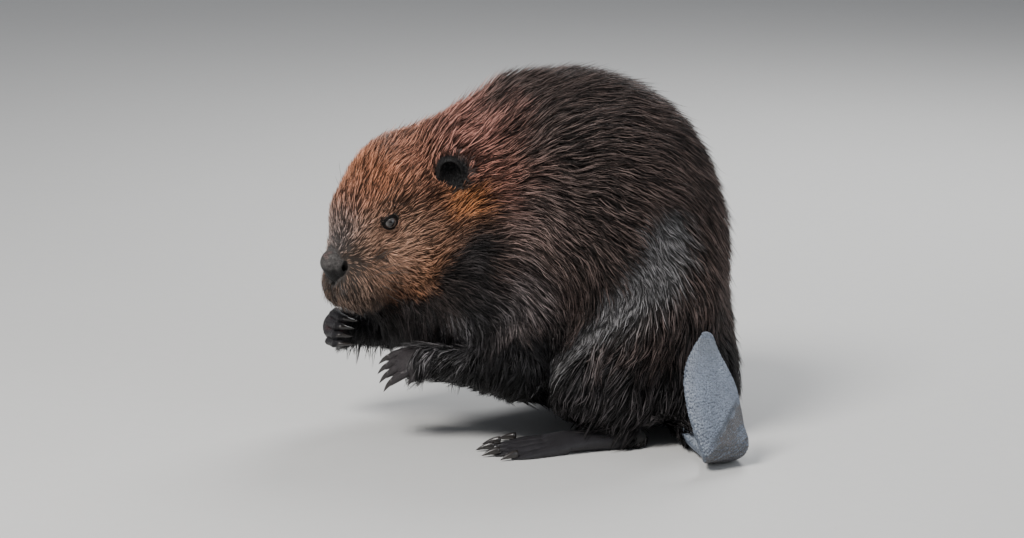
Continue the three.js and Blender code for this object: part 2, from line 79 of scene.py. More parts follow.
def frame_of(forward, up):
    """Three axes at right angles as rows: forwards, aside and up."""
    x = unit(forward)
    y = unit(np.cross(up, x))
    return np.stack([x, y, np.cross(x, y)])


def place(origin, axes, x, y, z):
    return origin + vec(x, y, z) @ axes


def melt(a, b, width):
    """The nearer of two forms, with a fillet of this width where they meet."""
    h = np.maximum(width - np.abs(a - b), 0) / width
    return np.minimum(a, b) - h * h * width / 4


def blob(p, centre, radii, axes=None):
    """Distance from an egg-shaped form."""
    q = p - centre
    if axes is not None:
        q = q @ axes.T
    q = q / radii
    reach = np.linalg.norm(q, axis=1)
    return reach * (reach - 1) / np.maximum(np.linalg.norm(q / radii, axis=1), 1e-9)


def share_along(p, a, b):
    """How far along the line from a to b the nearest place is, from 0 to 1."""
    along = b - a
    return np.clip((p - a) @ along / (along @ along), 0, 1)


def limb(p, a, b, radius_a, radius_b):
    """Distance from a tapered rod with round ends."""
    share = share_along(p, a, b)
    nearest = a + share[:, None] * (b - a)
    return np.linalg.norm(p - nearest, axis=1) - (radius_a + share * (radius_b - radius_a))


UP = vec(0, 0, 1)
NOSE = vec(-350, -53, 175)
HEAD_YAW, HEAD_PITCH = math.radians(35), math.radians(42)
LEVEL = math.cos(HEAD_PITCH)
HEAD = frame_of(vec(-math.cos(HEAD_YAW) * LEVEL, -math.sin(HEAD_YAW) * LEVEL, -math.sin(HEAD_PITCH)), UP)


def on_head(back, aside, up):
    """A place on the head, measured from the front of the nose in the head's own axes."""
    return place(NOSE, HEAD, -back, aside, up)


def head_blob(p, back, aside, up, *radii):
    return blob(p, on_head(back, aside, up), vec(*radii), HEAD)


# Middle of the form along X and Z, then its half length, half width and half height.
TRUNK = [
    (-101, 239, 120, 117, 126),  # arch of the back
    (-50, 169, 102, 132, 149),  # loin and hips
    (-13, 40, 79, 128, 111),  # rump
    (-180, 165, 87, 94, 112),  # chest and shoulders
    (-115, 85, 105, 110, 85),  # belly
    (-222, 118, 70, 86, 74),  # breast
]
# Back from the nose, aside and up, then half length, half width and half height.
SKULL = [
    (100, 0, -1, 52, 57, 55),  # crown
    (142, 0, -12, 50, 57, 33),  # nape
    (66, 0, 17, 46, 37, 31),  # brow
    (31, 0, -3, 36, 28, 24),  # muzzle
    (1, 0, -34, 26, 23, 24),  # upper lip
    (31, 0, -74, 41, 32, 38),  # chin
    (69, 0, -79, 50, 42, 36),  # throat
    (82, 28, -44, 50, 33, 44),  # cheeks, over the jaw muscle
    (82, -28, -44, 50, 33, 44),
    (2, 18, -36, 29, 21, 28),  # whisker pads
    (2, -18, -36, 29, 21, 28),
]
TRUNK_FILLET, NECK_FILLET, SKULL_FILLET, HEAD_FILLET, LEG_FILLET, FLOOR_FILLET = 40, 45, 16, 22, 26, 16
ELBOW = {"left": vec(-168, -104, 72), "right": vec(-240, 62, 88)}
WRIST = {"left": vec(-254, -90, 86), "right": vec(-331, 3, 96)}
# The joints of an arm or a leg: along X, out to the side, height and radius.
HIP, KNEE = (-22, 74, 140, 60), (-99, 112, 54, 43)
SHANK, HOCK = (-97, 114, 57, 42), (-42, 113, 34, 25)
ARM_ROOT, ARM_RADII = (-200, 66, 158), (50, 33)
NECK_ROOT, NECK_RADII, NECK_NARROW = vec(-176, 0, 262), (97, 49), vec(1, 1.8, 1)
KNEE_FILLET = 14
# Where the underside comes down to the floor: along X and Y, and how far each place reaches.
SEAT, ANKLES = (0, 0, 45), ((-66, -113, 30), (-66, 113, 30))
BELLY_LIFT, SEAT_SINK, ANKLE_DIP = 18, 12, 14


def underside(p):
    """How far below the animal's underside each place is."""
    def dip(x, y, radius):
        return np.exp(-((p[:, 0] - x) ** 2 + (p[:, 1] - y) ** 2) / (2 * radius * radius))

    ankles = sum(dip(*ankle) for ankle in ANKLES)
    return BELLY_LIFT - (BELLY_LIFT + SEAT_SINK) * dip(*SEAT) - ANKLE_DIP * ankles - p[:, 2]


def merged(parts, fillet):
    """Many forms melted into one, in turn."""
    total = next(parts)
    for part in parts:
        total = melt(total, part, fillet)
    return total


def leg_part(p, side, upper, lower):
    """The stretch of one leg between two of its joints."""
    (*a, radius_a), (*b, radius_b) = upper, lower
    return limb(p, vec(*a) * vec(1, side, 1), vec(*b) * vec(1, side, 1), radius_a, radius_b)


def coat_surface(p):
    """Distance from the outside of the coat on head, neck, trunk, thighs and upper arms."""
    d = merged((blob(p, vec(x, 0, z), vec(*radii)) for x, z, *radii in TRUNK), TRUNK_FILLET)
    neck = limb(p * NECK_NARROW, NECK_ROOT, on_head(128, 0, -4), *NECK_RADII)
    d = melt(d, neck, NECK_FILLET)
    d = melt(d, merged((head_blob(p, *row) for row in SKULL), SKULL_FILLET), HEAD_FILLET)
    for name, side in SIDES.items():
        thigh, shank = leg_part(p, side, HIP, KNEE), leg_part(p, side, SHANK, HOCK)
        d = melt(d, melt(thigh, shank, KNEE_FILLET), LEG_FILLET)
        shoulder = vec(*ARM_ROOT) * vec(1, side, 1)
        d = melt(d, limb(p, shoulder, ELBOW[name], *ARM_RADII), LEG_FILLET)
    return -melt(-d, -underside(p), FLOOR_FILLET)


SHALLOWEST, DEEPEST, DEEPER_BACK = 1.8, 13, 0.062


def coat_depth(p):
    """How far the hide lies inside the coat: least round the nose, most on the body."""
    return np.clip(SHALLOWEST + DEEPER_BACK * np.maximum(gap_to(p, NOSE) - 22, 0), SHALLOWEST, DEEPEST)


def sweep(p, rings):
    """Distance from a tube with oval rings: (place, half width, half height, across, up)."""
    best = np.full(len(p), 1e3)
    for (a, wide_a, high_a, across_a, up_a), (b, wide_b, high_b, across_b, up_b) in zip(rings, rings[1:]):
        along, share = b - a, share_along(p, a, b)[:, None]
        off = p - a - share * along
        wide, high = wide_a + share[:, 0] * (wide_b - wide_a), high_a + share[:, 0] * (high_b - high_a)
        across, up = unit(across_a + share * (across_b - across_a)), unit(up_a + share * (up_b - up_a))
        parts = np.stack([(off * across).sum(1), off @ unit(along), (off * up).sum(1)], 1)
        radii = np.stack([wide, high, high], 1)
        reach = np.linalg.norm(parts / radii, axis=1)
        slope = np.linalg.norm(parts / radii**2, axis=1)
        best = np.minimum(best, reach * (reach - 1) / np.maximum(slope, 1e-9))
    return best


def plate(p, a, b, c, half_thickness):
    """Distance from a flat triangle of skin."""
    normal = np.cross(b - a, c - a)
    inside = np.ones(len(p), bool)
    edge = np.full(len(p), 1e9)
    for u, v in ((a, b), (b, c), (c, a)):
        edge = np.minimum(edge, ((p - u - share_along(p, u, v)[:, None] * (v - u)) ** 2).sum(1))
        inside &= (p - u) @ np.cross(normal, v - u) >= 0
    flat = ((p - a) @ normal) ** 2 / (normal @ normal)
    return np.sqrt(np.where(inside, flat, edge)) - half_thickness


GIRTH = (1, 1.02, 0.97, 0.68)
DIGIT_THIN, DIGIT_FLAT = 0.5, 0.92


def digit_rings(base, heading, up, length, radius, curl):
    """Rings of a finger or toe that bends towards its palm by `curl` degrees, and the way it ends."""
    axes = frame_of(heading, up)
    rings, at, joints = [], base, len(GIRTH) - 1
    for n, share in enumerate(GIRTH):
        bend = n * math.radians(curl) / joints
        aim = axes[0] * math.cos(bend) - axes[2] * math.sin(bend)
        if n:
            at = at + aim * length / joints
        thick = radius * share - DIGIT_THIN
        rings.append((at, thick, thick * DIGIT_FLAT, axes[1], np.cross(aim, axes[1])))
    return rings, aim


# Each hand's own axes, how far its fingers curl and which side its thumb is on.
HANDS = {
    "left": (frame_of(vec(-0.96, 0.03, -0.2), vec(-0.2, -0.5, 0.8)), 22, 1),
    "right": (frame_of(vec(-0.93, -0.28, 0.12), vec(-0.2, 0.95, 0.1)), 150, -1),
}


def fingers(name):
    """Base, heading, up, length, radius, curl, claw length and claw radius of each finger."""
    axes, curl, thumb = HANDS[name]
    for n, slot in enumerate((-1.5, -0.5, 0.5, 1.5)):
        base = place(WRIST[name], axes, 25 - abs(slot) * 2.4, slot * 9.2, 0)
        yield base, axes[0] + axes[1] * slot * 0.09, axes[2], 24, 5.3, curl + n * 3, 15, 3
    base = place(WRIST[name], axes, 12, thumb * 14, -3)
    yield base, axes[0] * 0.75 + axes[1] * thumb * 0.6, axes[2], 14, 4.6, curl * 0.6, 7, 2.4


# Each foot's heel, its own axes and its side.
FEET = {
    "left": (vec(-44, -112, 0), frame_of(vec(-1, -0.13, 0), UP), -1),
    "right": (vec(-40, 110, 0), frame_of(vec(-1, 0.2, 0), UP), 1),
}
TOES = [(-2, 46, 6.4), (-1, 62, 7.2), (0, 70, 7.6), (1, 68, 7.4), (2, 54, 6.8)]
INSTEP = [(6, 13, 11), (26, 16, 11.5), (52, 21, 11), (74, 27, 10), (92, 29, 8)]
TOE_FAN, TOE_PITCH, BALL = 9, 10.5, 82


def toes(name):
    """The same of each toe as of each finger."""
    heel, axes, side = FEET[name]
    for slot, length, radius in TOES:
        fan = -side * math.radians(slot * TOE_FAN)
        root = place(heel, axes, BALL, -side * slot * TOE_PITCH, radius - 2.4)
        yield root, vec(math.cos(fan), math.sin(fan), 0) @ axes, UP, length, radius, 9, 17, 4


# The tail's middle line, with its half width, half thickness and how far its width is turned.
TAIL = np.array([
    (0, -24, 50, 34, 26, 0),
    (3, -64, 33, 29, 20, 0),
    (11, -100, 19, 24, 13, 4),
    (23, -138, 9, 21, 9.6, 12),
    (33, -174, 7.6, 21, 8.4, 24),
    (35, -196, 18, 26.5, 7.4, 34),
    (29, -201, 38, 33, 6.4, 40),
    (23, -195, 62, 36.5, 5.6, 43),
    (19, -183, 85, 33.5, 4.8, 43),
    (17, -169, 106, 21, 4, 42),
    (18, -160, 121, 10, 3, 42),
], float)
TAIL_TIP, TAIL_THIN = 7, 0.8


def tail_rings(steps=40):
    """The tail's rings, closer together along a smooth line than the few that set them."""
    last = len(TAIL) - 1
    rows = np.empty((steps, 6))
    for n, u in enumerate(np.linspace(0, last, steps)):
        i = min(int(u), last - 1)
        f = u - i
        p0, p1, p2, p3 = TAIL[[max(i - 1, 0), i, i + 1, min(i + 2, last)]]
        bend = (p2 - p0) * f + (2 * p0 - 5 * p1 + 4 * p2 - p3) * f**2 + (3 * p1 - p0 - 3 * p2 + p3) * f**3
        rows[n] = 0.5 * (2 * p1 + bend)
    along = unit(np.gradient(rows[:, :3], axis=0))
    turn = np.radians(rows[:, 5])
    across = np.stack([np.cos(turn), np.sin(turn), np.zeros(steps)], 1)
    across = unit(across - along * (along * across).sum(1, keepdims=True))
    up = np.cross(along, across)
    return [(row[:3], row[3] - TAIL_THIN, row[4] - TAIL_THIN, *ways) for row, *ways in zip(rows, across, up)]


def tail(p):
    rings = tail_rings()
    end, wide, high, across, up = rings[-1]
    tip = np.stack([across, np.cross(up, across), up])
    return np.minimum(sweep(p, rings), blob(p, end, vec(wide, TAIL_TIP, high), tip))


EYE_BACK, EYE_ASIDE, EYE_UP, EYE_RADIUS = 60, 35.5, 3, 8
EAR_BACK, EAR_ASIDE, EAR_UP = 135, 58, -1


def ear_centre(side):
    return on_head(EAR_BACK, -side * EAR_ASIDE, EAR_UP)


def ear_axes(side):
    return frame_of(HEAD[1] * -0.72 * side + HEAD[0] * 0.62 + HEAD[2] * 0.12, HEAD[2] - HEAD[0] * 0.35)


def ear(p, side):
    """A cupped leaf of skin, open forwards and outwards."""
    axes, centre = ear_axes(side), ear_centre(side)
    shell = blob(p, centre, vec(8.4, 13, 17.6), axes)
    hollow = blob(p, place(centre, axes, 8.5, 0.6, -0.6), vec(12.5, 11.4, 15.4), axes)
    return np.maximum(shell, -hollow)


def nose(p):
    """The bare nose pad, with a wing round each nostril."""
    pad = melt(head_blob(p, -1, 0, 3, 13.5, 12.5, 11), head_blob(p, -3, 0, -8, 13, 12.5, 9.5), 7)
    for side in (-1, 1):
        pad = melt(pad, head_blob(p, -1.5, side * 12, -4.5, 8.5, 5.6, 8), 3)
    return pad


def nostrils(p):
    """The comma of each nostril, and the groove that runs down from them to the mouth."""
    d = limb(p, on_head(-17, 0, -5), on_head(-13, 0, -27), 0.8, 1.9)
    for side in (-1, 1):
        d = np.minimum(d, limb(p, on_head(-4, side * 8, -8), on_head(-0.5, side * 21, -0.5), 2.0, 2.5))
        d = np.minimum(d, limb(p, on_head(-1, side * 17, -3), on_head(5, side * 17, 3), 2.0, 0.7))
    return d


def eye_centre(side):
    return on_head(EYE_BACK, -side * EYE_ASIDE, EYE_UP)


def eye_axes(side):
    """Looks outwards, a little forwards and up; the second axis runs along the lids."""
    return frame_of(HEAD[1] * -side + HEAD[0] * 0.38 + HEAD[2] * 0.16, HEAD[2])


def lids(p, side):
    """The ring of skin that hugs the eyeball, open over the iris."""
    axes, centre = eye_axes(side), eye_centre(side)
    ring = gap_to(p, centre) - (EYE_RADIUS + 0.8)
    opening = blob(p, place(centre, axes, 9.5, 0, 0), vec(9, 8.2, 4.7), axes)
    forwards = unit(HEAD[0] - axes[0] * (HEAD[0] @ axes[0]))
    corner = centre + axes[0] * 7.0 + forwards * 8.5 + HEAD[2] * 2.5
    return ring, melt(opening, gap_to(p, corner) - 2.2, 2)


def paw(p, name):
    """A palm with its fingers."""
    axes = HANDS[name][0]
    hand = blob(p, place(WRIST[name], axes, 16, 0, -1), vec(19.5, 18.5, 9.4), axes)
    for *digit, _, _ in fingers(name):
        hand = melt(hand, sweep(p, digit_rings(*digit)[0]), 1.6)
    return hand


SOLE = 0.4  # how far the skin stays above the floor


def foot(p, name):
    """A flat foot with toes and the webs between them."""
    heel, axes, _ = FEET[name]
    rings = [
        (place(heel, axes, x, 0, high - 2.5), wide - 0.6, high - 0.6, axes[1], UP)
        for x, wide, high in INSTEP
    ]
    flesh = sweep(p, rings)
    roots, ends = [], []
    for *digit, _, _ in toes(name):
        flesh = melt(flesh, sweep(p, digit_rings(*digit)[0]), 3)
        roots.append(digit[0] * vec(1, 1, 0) + UP * 3.0)
        ends.append(roots[-1] + digit[1] * digit[3] * 0.9)
    for root, next_root, end, next_end in zip(roots, roots[1:], ends, ends[1:]):
        slack = (root + next_root) / 2 * 0.16 + (end + next_end) / 2 * 0.84
        for first, second in ((root, next_root), (root, end), (next_root, next_end)):
            flesh = melt(flesh, plate(p, first, second, slack, 1.3), 1.2)
    return np.maximum(flesh, SOLE - p[:, 2])


HOLLOW_FILL = 2.6  # how much fuller the face is below the eye


def hide(p):
    """Distance from the animal's skin."""
    d = coat_surface(p) + coat_depth(p)

    def local(ends, margin, width, form):
        """Blends a form into the field near its own box only, where it can matter."""
        near = np.all((p > np.min(ends, 0) - margin) & (p < np.max(ends, 0) + margin), axis=1)
        if near.any():
            d[near] = melt(d[near], form(p[near]), width)

    for name, side in SIDES.items():
        d -= HOLLOW_FILL * np.exp(-(gap_to(p, on_head(33, -side * 31, -15)) ** 2) / (2 * 9.0**2))
        axes = HANDS[name][0]
        sleeve = WRIST[name] + axes[0] * 6
        local((ELBOW[name], sleeve), 42, 10, lambda q: limb(q, ELBOW[name], sleeve, 21, 12.5))
        local((place(WRIST[name], axes, 16, 0, -1),), 56, 5, lambda q: paw(q, name))
        heel, axes, _ = FEET[name]
        hock, ankle = vec(-84, side * 113, 46), heel + axes[0] * 16 + UP * 10
        local((hock, ankle), 36, 12, lambda q: limb(q, hock, ankle, 21, 9))
        local((heel + vec(-175, -45, 0), heel + vec(10, 45, 22)), 14, 7, lambda q: foot(q, name))
        local((ear_centre(side),), 38, 4, lambda q: ear(q, side))
    local((vec(-45, -240, 0), vec(75, 0, 130)), 14, 14, tail)
    d = np.maximum(d, SOLE - p[:, 2])
    local((NOSE,), 38, 2.5, nose)
    near = gap_to(p, NOSE) < 42
    if near.any():
        d[near] = -melt(-d[near], nostrils(p[near]), 2.4)
    for side in SIDES.values():
        near = gap_to(p, eye_centre(side)) < 22
        if near.any():
            ring, opening = lids(p[near], side)
            d[near] = -melt(-melt(d[near], ring, 3.5), opening, 1.2)
    return d


# ---------------------------------------------------------------- skin: its mesh
# The hide is one closed sheet with no seam. It is worked out as even quads, and cut finer on the nose,
# round the eyes and ears and on the hands.
HIDE_LOW, HIDE_HIGH = vec(-386, -252, -10), vec(86, 198, 368)
STEPS = np.eye(3, dtype=int)


def finer(values, cell, times, reach):
    """A grid of distances `times` finer, worked out afresh within `reach` of the surface."""
    for axis in range(3):
        values = np.repeat(values, times, axis)
    close = np.argwhere(np.abs(values) < reach)
    values[tuple(close.T)] = hide(HIDE_LOW + (close + 0.5) * cell)
    return values


def net(fine, cell):
    """The surface where a grid of distances is 0, as points and quads."""
    shape = np.array(fine.shape)
    inside = fine < 0
    corners = [(a, b, c) for a in (0, 1) for b in (0, 1) for c in (0, 1)]

    def shifted(start, by):
        return inside[tuple(slice(start + n, size - 1 + n) for n, size in zip(by, shape))]

    total = sum(shifted(0, corner).astype(np.int8) for corner in corners)
    cells = np.argwhere((total > 0) & (total < 8))
    values = {corner: fine[tuple((cells + corner).T)] for corner in corners}
    crossed, weight = np.zeros((len(cells), 3)), np.zeros(len(cells))
    for a in corners:
        for step in STEPS:
            if step @ a:
                continue
            b = tuple(a + step)
            cut = (values[a] < 0) != (values[b] < 0)
            share = np.where(cut, values[a] / np.where(cut, values[a] - values[b], 1), 0)
            crossed += np.where(cut[:, None], np.array(a) + share[:, None] * step, 0)
            weight += cut
    points = HIDE_LOW + (cells + crossed / weight[:, None] + 0.5) * cell

    number = np.full(shape - 1, -1, np.int32)
    number[tuple(cells.T)] = np.arange(len(cells))
    quads = []
    for axis in range(3):
        u, w = STEPS[(axis + 1) % 3], STEPS[(axis + 2) % 3]
        edge = np.argwhere(shifted(1, (0, 0, 0)) != shifted(1, STEPS[axis])) + 1
        around = ((0, 0), (1, 0), (1, 1), (0, 1))
        ring = np.stack([number[tuple((edge - a * u - b * w).T)] for a, b in around], 1)
        quads.append(np.where(inside[tuple(edge.T)][:, None], ring, ring[:, ::-1]))
    return points, np.concatenate(quads)


def settle(p, step=0.35):
    """Moves points onto the hide's surface."""
    here = hide(p)
    slope = np.stack([hide(p + step * axis) - here for axis in np.eye(3)], 1) / step
    return p - (slope * (here / np.maximum((slope**2).sum(1), 0.25))[:, None]).clip(-2, 2)


def write_points(data, points):
    data.vertices.foreach_set("co", (points * MM).astype(np.float32).ravel())


def points_of(data):
    found = np.empty(len(data.vertices) * 3, np.float32)
    data.vertices.foreach_get("co", found)
    return found.reshape(-1, 3) / MM


def mesh_object(name, points, faces):
    """A smooth mesh in metres, from points in millimetres and lists of faces with equal numbers of sides."""
    data = bpy.data.meshes.new(name)
    data.vertices.add(len(points))
    write_points(data, points)
    sizes = np.concatenate([np.full(len(group), group.shape[1]) for group in faces])
    data.loops.add(int(sizes.sum()))
    corners = np.concatenate([group.ravel() for group in faces]).astype(np.int32)
    data.loops.foreach_set("vertex_index", corners)
    data.polygons.add(len(sizes))
    data.polygons.foreach_set("loop_start", (np.cumsum(sizes) - sizes).astype(np.int32))
    data.polygons.foreach_set("use_smooth", np.ones(len(sizes), bool))
    data.update(calc_edges=True)
    item = bpy.data.objects.new(name, data)
    bpy.context.scene.collection.objects.link(item)
    return item


NEAR_CELL, ROUGH_CELL = HIDE_CELL * 2, HIDE_CELL * 6
NEAR_REACH, FINE_REACH = 26, 6.5  # the finer grids are worked out this close to the surface
size = np.ceil((HIDE_HIGH - HIDE_LOW) / ROUGH_CELL).astype(int)
middles = [HIDE_LOW[n] + ROUGH_CELL * (np.arange(size[n]) + 0.5) for n in range(3)]
cells = np.stack(np.meshgrid(*middles, indexing="ij"), -1).reshape(-1, 3)
rough = hide(cells).reshape(size).astype(np.float32)
near_hide = finer(rough, NEAR_CELL, 3, NEAR_REACH)
skin_points, skin_quads = net(finer(near_hide, HIDE_CELL, 2, FINE_REACH), HIDE_CELL)
skin = mesh_object("skin", settle(skin_points), [skin_quads])
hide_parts(*[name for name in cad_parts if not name.startswith("eye")])
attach(skin, "root")


def fine_places(p):
    """True where the skin has small forms."""
    fine = gap_to(p, on_head(-2, 0, -4)) < 26
    for name, side in SIDES.items():
        fine |= gap_to(p, eye_centre(side)) < 17
        fine |= gap_to(p, ear_centre(side)) < 22
        fine |= gap_to(p, place(WRIST[name], HANDS[name][0], 34, 0, 0)) < 27
    return fine


work = bmesh.new()
work.from_mesh(skin.data)
marked = fine_places(points_of(skin.data))
edges = [edge for edge in work.edges if marked[edge.verts[0].index] and marked[edge.verts[1].index]]
bmesh.ops.subdivide_edges(work, edges=edges, cuts=1, use_grid_fill=True)
work.to_mesh(skin.data)
work.free()
skin_points = points_of(skin.data).astype(np.float64)
fine = fine_places(skin_points)
skin_points[fine] = settle(skin_points[fine])
write_points(skin.data, skin_points)
skin.data.update()

# ---------------------------------------------------------------- skin: markings and finishes
# Under the coat the hide carries the coat's own markings, darker, as painted shade deep in the coat. The nose
# pad and the paws are bare leathery skin, the ears are nearly black and darkest in their hollows as painted
# shade, and the tail is grey skin, its blue partly a painted reflection of the sky.


def between(low, high, values):
    share = np.clip((values - low) / (high - low), 0, 1)
    return share * share * (3 - 2 * share)


def mixed(a, b, share):
    return a + (b - a) * share[:, None]


def ripple(p, size, seed):
    """Smooth noise about -1..1 with forms of one size."""
    waves = np.random.default_rng(seed)
    total = np.zeros(len(p))
    for _ in range(6):
        heading = unit(waves.normal(size=3))
        wave = 2 * math.pi / (size * waves.uniform(0.7, 1.5))
        total += np.sin(p @ heading * wave + waves.uniform(0, 6.3))
    return total / 2.6


FUR_BROWN = vec(0.063, 0.045, 0.040)
FUR_BLACK = vec(0.0118, 0.0112, 0.0120)
FUR_WET_SHEEN = vec(0.150, 0.145, 0.148)
FUR_PAINTED_SHEEN = vec(0.17, 0.16, 0.165)
# The head's tones, among them the ear's painted shadow: back from the nose, aside and up, then how far each
# one reaches.
HEAD_TONES = [
    (120, 27, 42, 34, (0.315, 0.148, 0.098)),  # crown
    (165, 46, 23, 32, (0.32, 0.155, 0.125)),  # nape
    (75, 20, 46, 30, (0.295, 0.124, 0.066)),  # brow
    (50, 14, 38, 20, (0.24, 0.120, 0.082)),  # forehead
    (26, 12, 25, 17, (0.26, 0.190, 0.165)),  # bridge
    (14, 9, 18, 10, (0.16, 0.135, 0.128)),  # above the nose
    (14, 25, 2, 13, (0.110, 0.078, 0.060)),  # beside the nose
    (42, 34, -13, 28, (0.66, 0.395, 0.275)),  # under the eye
    (68, 50, -12, 28, (0.135, 0.072, 0.047)),  # cheek
    (40, 58, -50, 26, (0.155, 0.076, 0.042)),  # low on the cheek
    (-6, 20, -40, 24, (0.115, 0.080, 0.062)),  # lips
    (14, 34, -66, 22, (0.082, 0.036, 0.019)),  # jaw
    (96, 54, 6, 20, (0.16, 0.076, 0.048)),  # temple
    (106, 68, -27, 19, (0.27, 0.110, 0.042)),  # below the ear
    # The dark just behind the ear is the ear's painted shadow.
    (132, 68, -25, 11, (0.030, 0.016, 0.013)),  # just behind the ear
    (150, 104, -6, 26, (0.185, 0.083, 0.061)),  # behind the ear
    (126, 114, -26, 26, (0.060, 0.030, 0.024)),  # behind the ear, lower down
    (92, 74, -62, 30, (0.10, 0.060, 0.045)),  # back of the jaw
]
# Lighter and darker places on the trunk in side view: along X and Z, reach and gain. Most are the coat's own
# tone; the lighter shoulder, the pale streak on the thigh and the lighter haunch are painted highlights on
# wet hair, and the darker belly is painted shade.
BODY_TONES_AND_LIGHT = [
    (-126, 341, 48, 0.68), (-20, 300, 44, 0.85), (-175, 218, 26, 1.75), (-172, 160, 24, 1.9),
    (-105, 165, 34, 0.6), (-104, 116, 13, 2.0), (-70, 78, 40, 2.3), (-165, 80, 28, 0.6),
]
# The smooth wet stripe in side view: along X and Z, and half its width.
WET_PATCH = ((-30, 218, 34), (-46, 176, 35), (-84, 138, 17), (-140, 74, 7))
SHOULDER_SHEEN = vec(-182, 162)  # the sheen on it, along X and Z
# The lower edge of the red on the cheeks: heights at places along X, with black throat hair below, painted as
# the shade under the jaw.
JAW_EDGE = ((-330, -300, -280, -262, -245, -225), (137, 139, 145, 157, 177, 207))


def wet_patch(p):
    """1 inside the smooth wet stripe that runs down each thigh."""
    flat, nearest = p[:, [0, 2]], np.full(len(p), 9.0)
    for (*a, wide_a), (*b, wide_b) in zip(WET_PATCH, WET_PATCH[1:]):
        a, b = vec(*a), vec(*b)
        share = share_along(flat, a, b)
        gap = gap_to(flat - a, share[:, None] * (b - a))
        nearest = np.minimum(nearest, gap / (wide_a + share * (wide_b - wide_a)))
    outside = between(60, 80, np.abs(p[:, 1]))
    return (1 - between(0.7, 1.15, nearest + 0.14 * ripple(p, 16, 3))) * outside


def wetness(p):
    """How wet the coat is: dry on head and back, soaked low on the sides."""
    level = 135 + 40 * between(-160, 20, p[:, 0]) + 14 * ripple(p, 60, 4)
    return 1 - between(level - 45, level + 35, p[:, 2])


def arm_gap(p, name):
    """Distance from the middle of an arm."""
    elbow = ELBOW[name]
    return np.minimum(limb(p, elbow + UP * 26, elbow, 0, 0), limb(p, elbow, WRIST[name], 0, 0))


def ear_reach(p):
    """1 on the outside of the nearer ear, less in it and more away from it."""
    spread = vec(11, 16, 20)
    near = [gap_to((p - ear_centre(side)) @ ear_axes(side).T / spread, 0) for side in SIDES.values()]
    return np.minimum(*near)


def pelt(p):
    """Colour of the coat at any place."""
    away = gap_to(p, NOSE)
    colour = mixed(FUR_BROWN, FUR_BLACK, between(200, 84, p[:, 2] + 16 * ripple(p, 50, 5)) * 0.94)
    for x, z, reach, gain in BODY_TONES_AND_LIGHT:
        near = np.exp(-(gap_to(p[:, [0, 2]], vec(x, z)) ** 2) / (2 * reach * reach))
        colour = colour * (1 + (gain - 1) * near)[:, None]
    # A painted sheen lightens the hair on the shoulders.
    shoulder = between(44, 14, gap_to(p[:, [0, 2]], SHOULDER_SHEEN)) * between(40, 70, np.abs(p[:, 1]))
    colour = mixed(colour, FUR_PAINTED_SHEEN, shoulder * 0.32)

    # The red of the head is blended from its tones and fades into brown on the neck.
    head = (p - NOSE) @ HEAD.T * vec(-1, 1, 1)
    head[:, 1] = np.abs(head[:, 1])
    total, red = np.full(len(p), 1e-9), np.zeros((len(p), 3))
    for *middle, reach, tone in HEAD_TONES:
        weight = np.exp(-(gap_to(head, vec(*middle)) ** 2) / (2 * (reach * 0.62) ** 2)) + 1e-6
        total += weight
        red += weight[:, None] * vec(*tone)
    red /= total[:, None]
    reach = 122 + 0.55 * np.clip(p[:, 2] - 150, -60, 120) + 10 * ripple(p, 34, 7)
    colour = mixed(colour, red, between(reach + 34, reach - 26, away))

    # Black: the throat, painted as the shade under the jaw, the skin round the eyes, the arms, the ears, and
    # the lips below the nose pad, partly painted shade under the pad.
    edge = np.interp(p[:, 0], *JAW_EDGE) - p[:, 2] + 4 * ripple(p, 20, 8)
    shade_under_jaw = between(-8, 10, edge) * between(-186, -222, p[:, 0]) * between(40, 56, away)
    colour = mixed(colour, FUR_BLACK, shade_under_jaw * 0.95)
    for name, side in SIDES.items():
        from_eye = p - eye_centre(side)
        close = gap_to(from_eye, 0) < 24
        gap = lids(p, side)[1] - 3.5 * between(2, 9, from_eye @ HEAD[0])
        colour = mixed(colour, FUR_BLACK * 0.7, close * between(4.2, 2.0, gap) * 0.95)
        on_arm = between(44, 30, arm_gap(p, name)) * between(150, 128, p[:, 2])
        colour = mixed(colour, FUR_BLACK * 0.8, on_arm)
    # The left cuff's wet hair gets a painted sheen in streaks.
    cuff = WRIST["left"] * 0.8 + ELBOW["left"] * 0.2 + UP * 22  # its wet hair shines in streaks
    streaks = between(-0.5, 0.7, ripple(p * vec(1, 1, 0.25), 9, 33))
    colour = mixed(colour, FUR_PAINTED_SHEEN, between(38, 14, gap_to(p, cuff)) * streaks * 0.62)
    colour = mixed(colour, FUR_BLACK, between(1.15, 0.95, ear_reach(p)) * 0.95)
    # The lips below the nose pad are black, partly painted shade under the pad.
    colour = mixed(colour, FUR_BLACK, between(13, 6, gap_to(p, on_head(-12, 0, -22))) * 0.8)
    # The wet stripe is painted grey, the sheen on its flat wet fur.
    return mixed(colour, FUR_WET_SHEEN, wet_patch(p))


def paint(data, colour, last):
    """Stores each point's colour, with one more value beside it."""
    layer = data.color_attributes.new("pigment", "FLOAT_COLOR", "POINT")
    rows = np.concatenate([colour, last[:, None]], 1).astype(np.float32)
    layer.data.foreach_set("color", rows.ravel())


def finish_of(name, **values):
    """A new material whose Principled shader has these values on its own sockets."""
    made = bpy.data.materials.new(name)
    made.use_nodes = True
    shader = made.node_tree.nodes["Principled BSDF"]
    for socket, value in values.items():
        shader.inputs[socket.replace("_", " ")].default_value = value
    return made, made.node_tree, shader


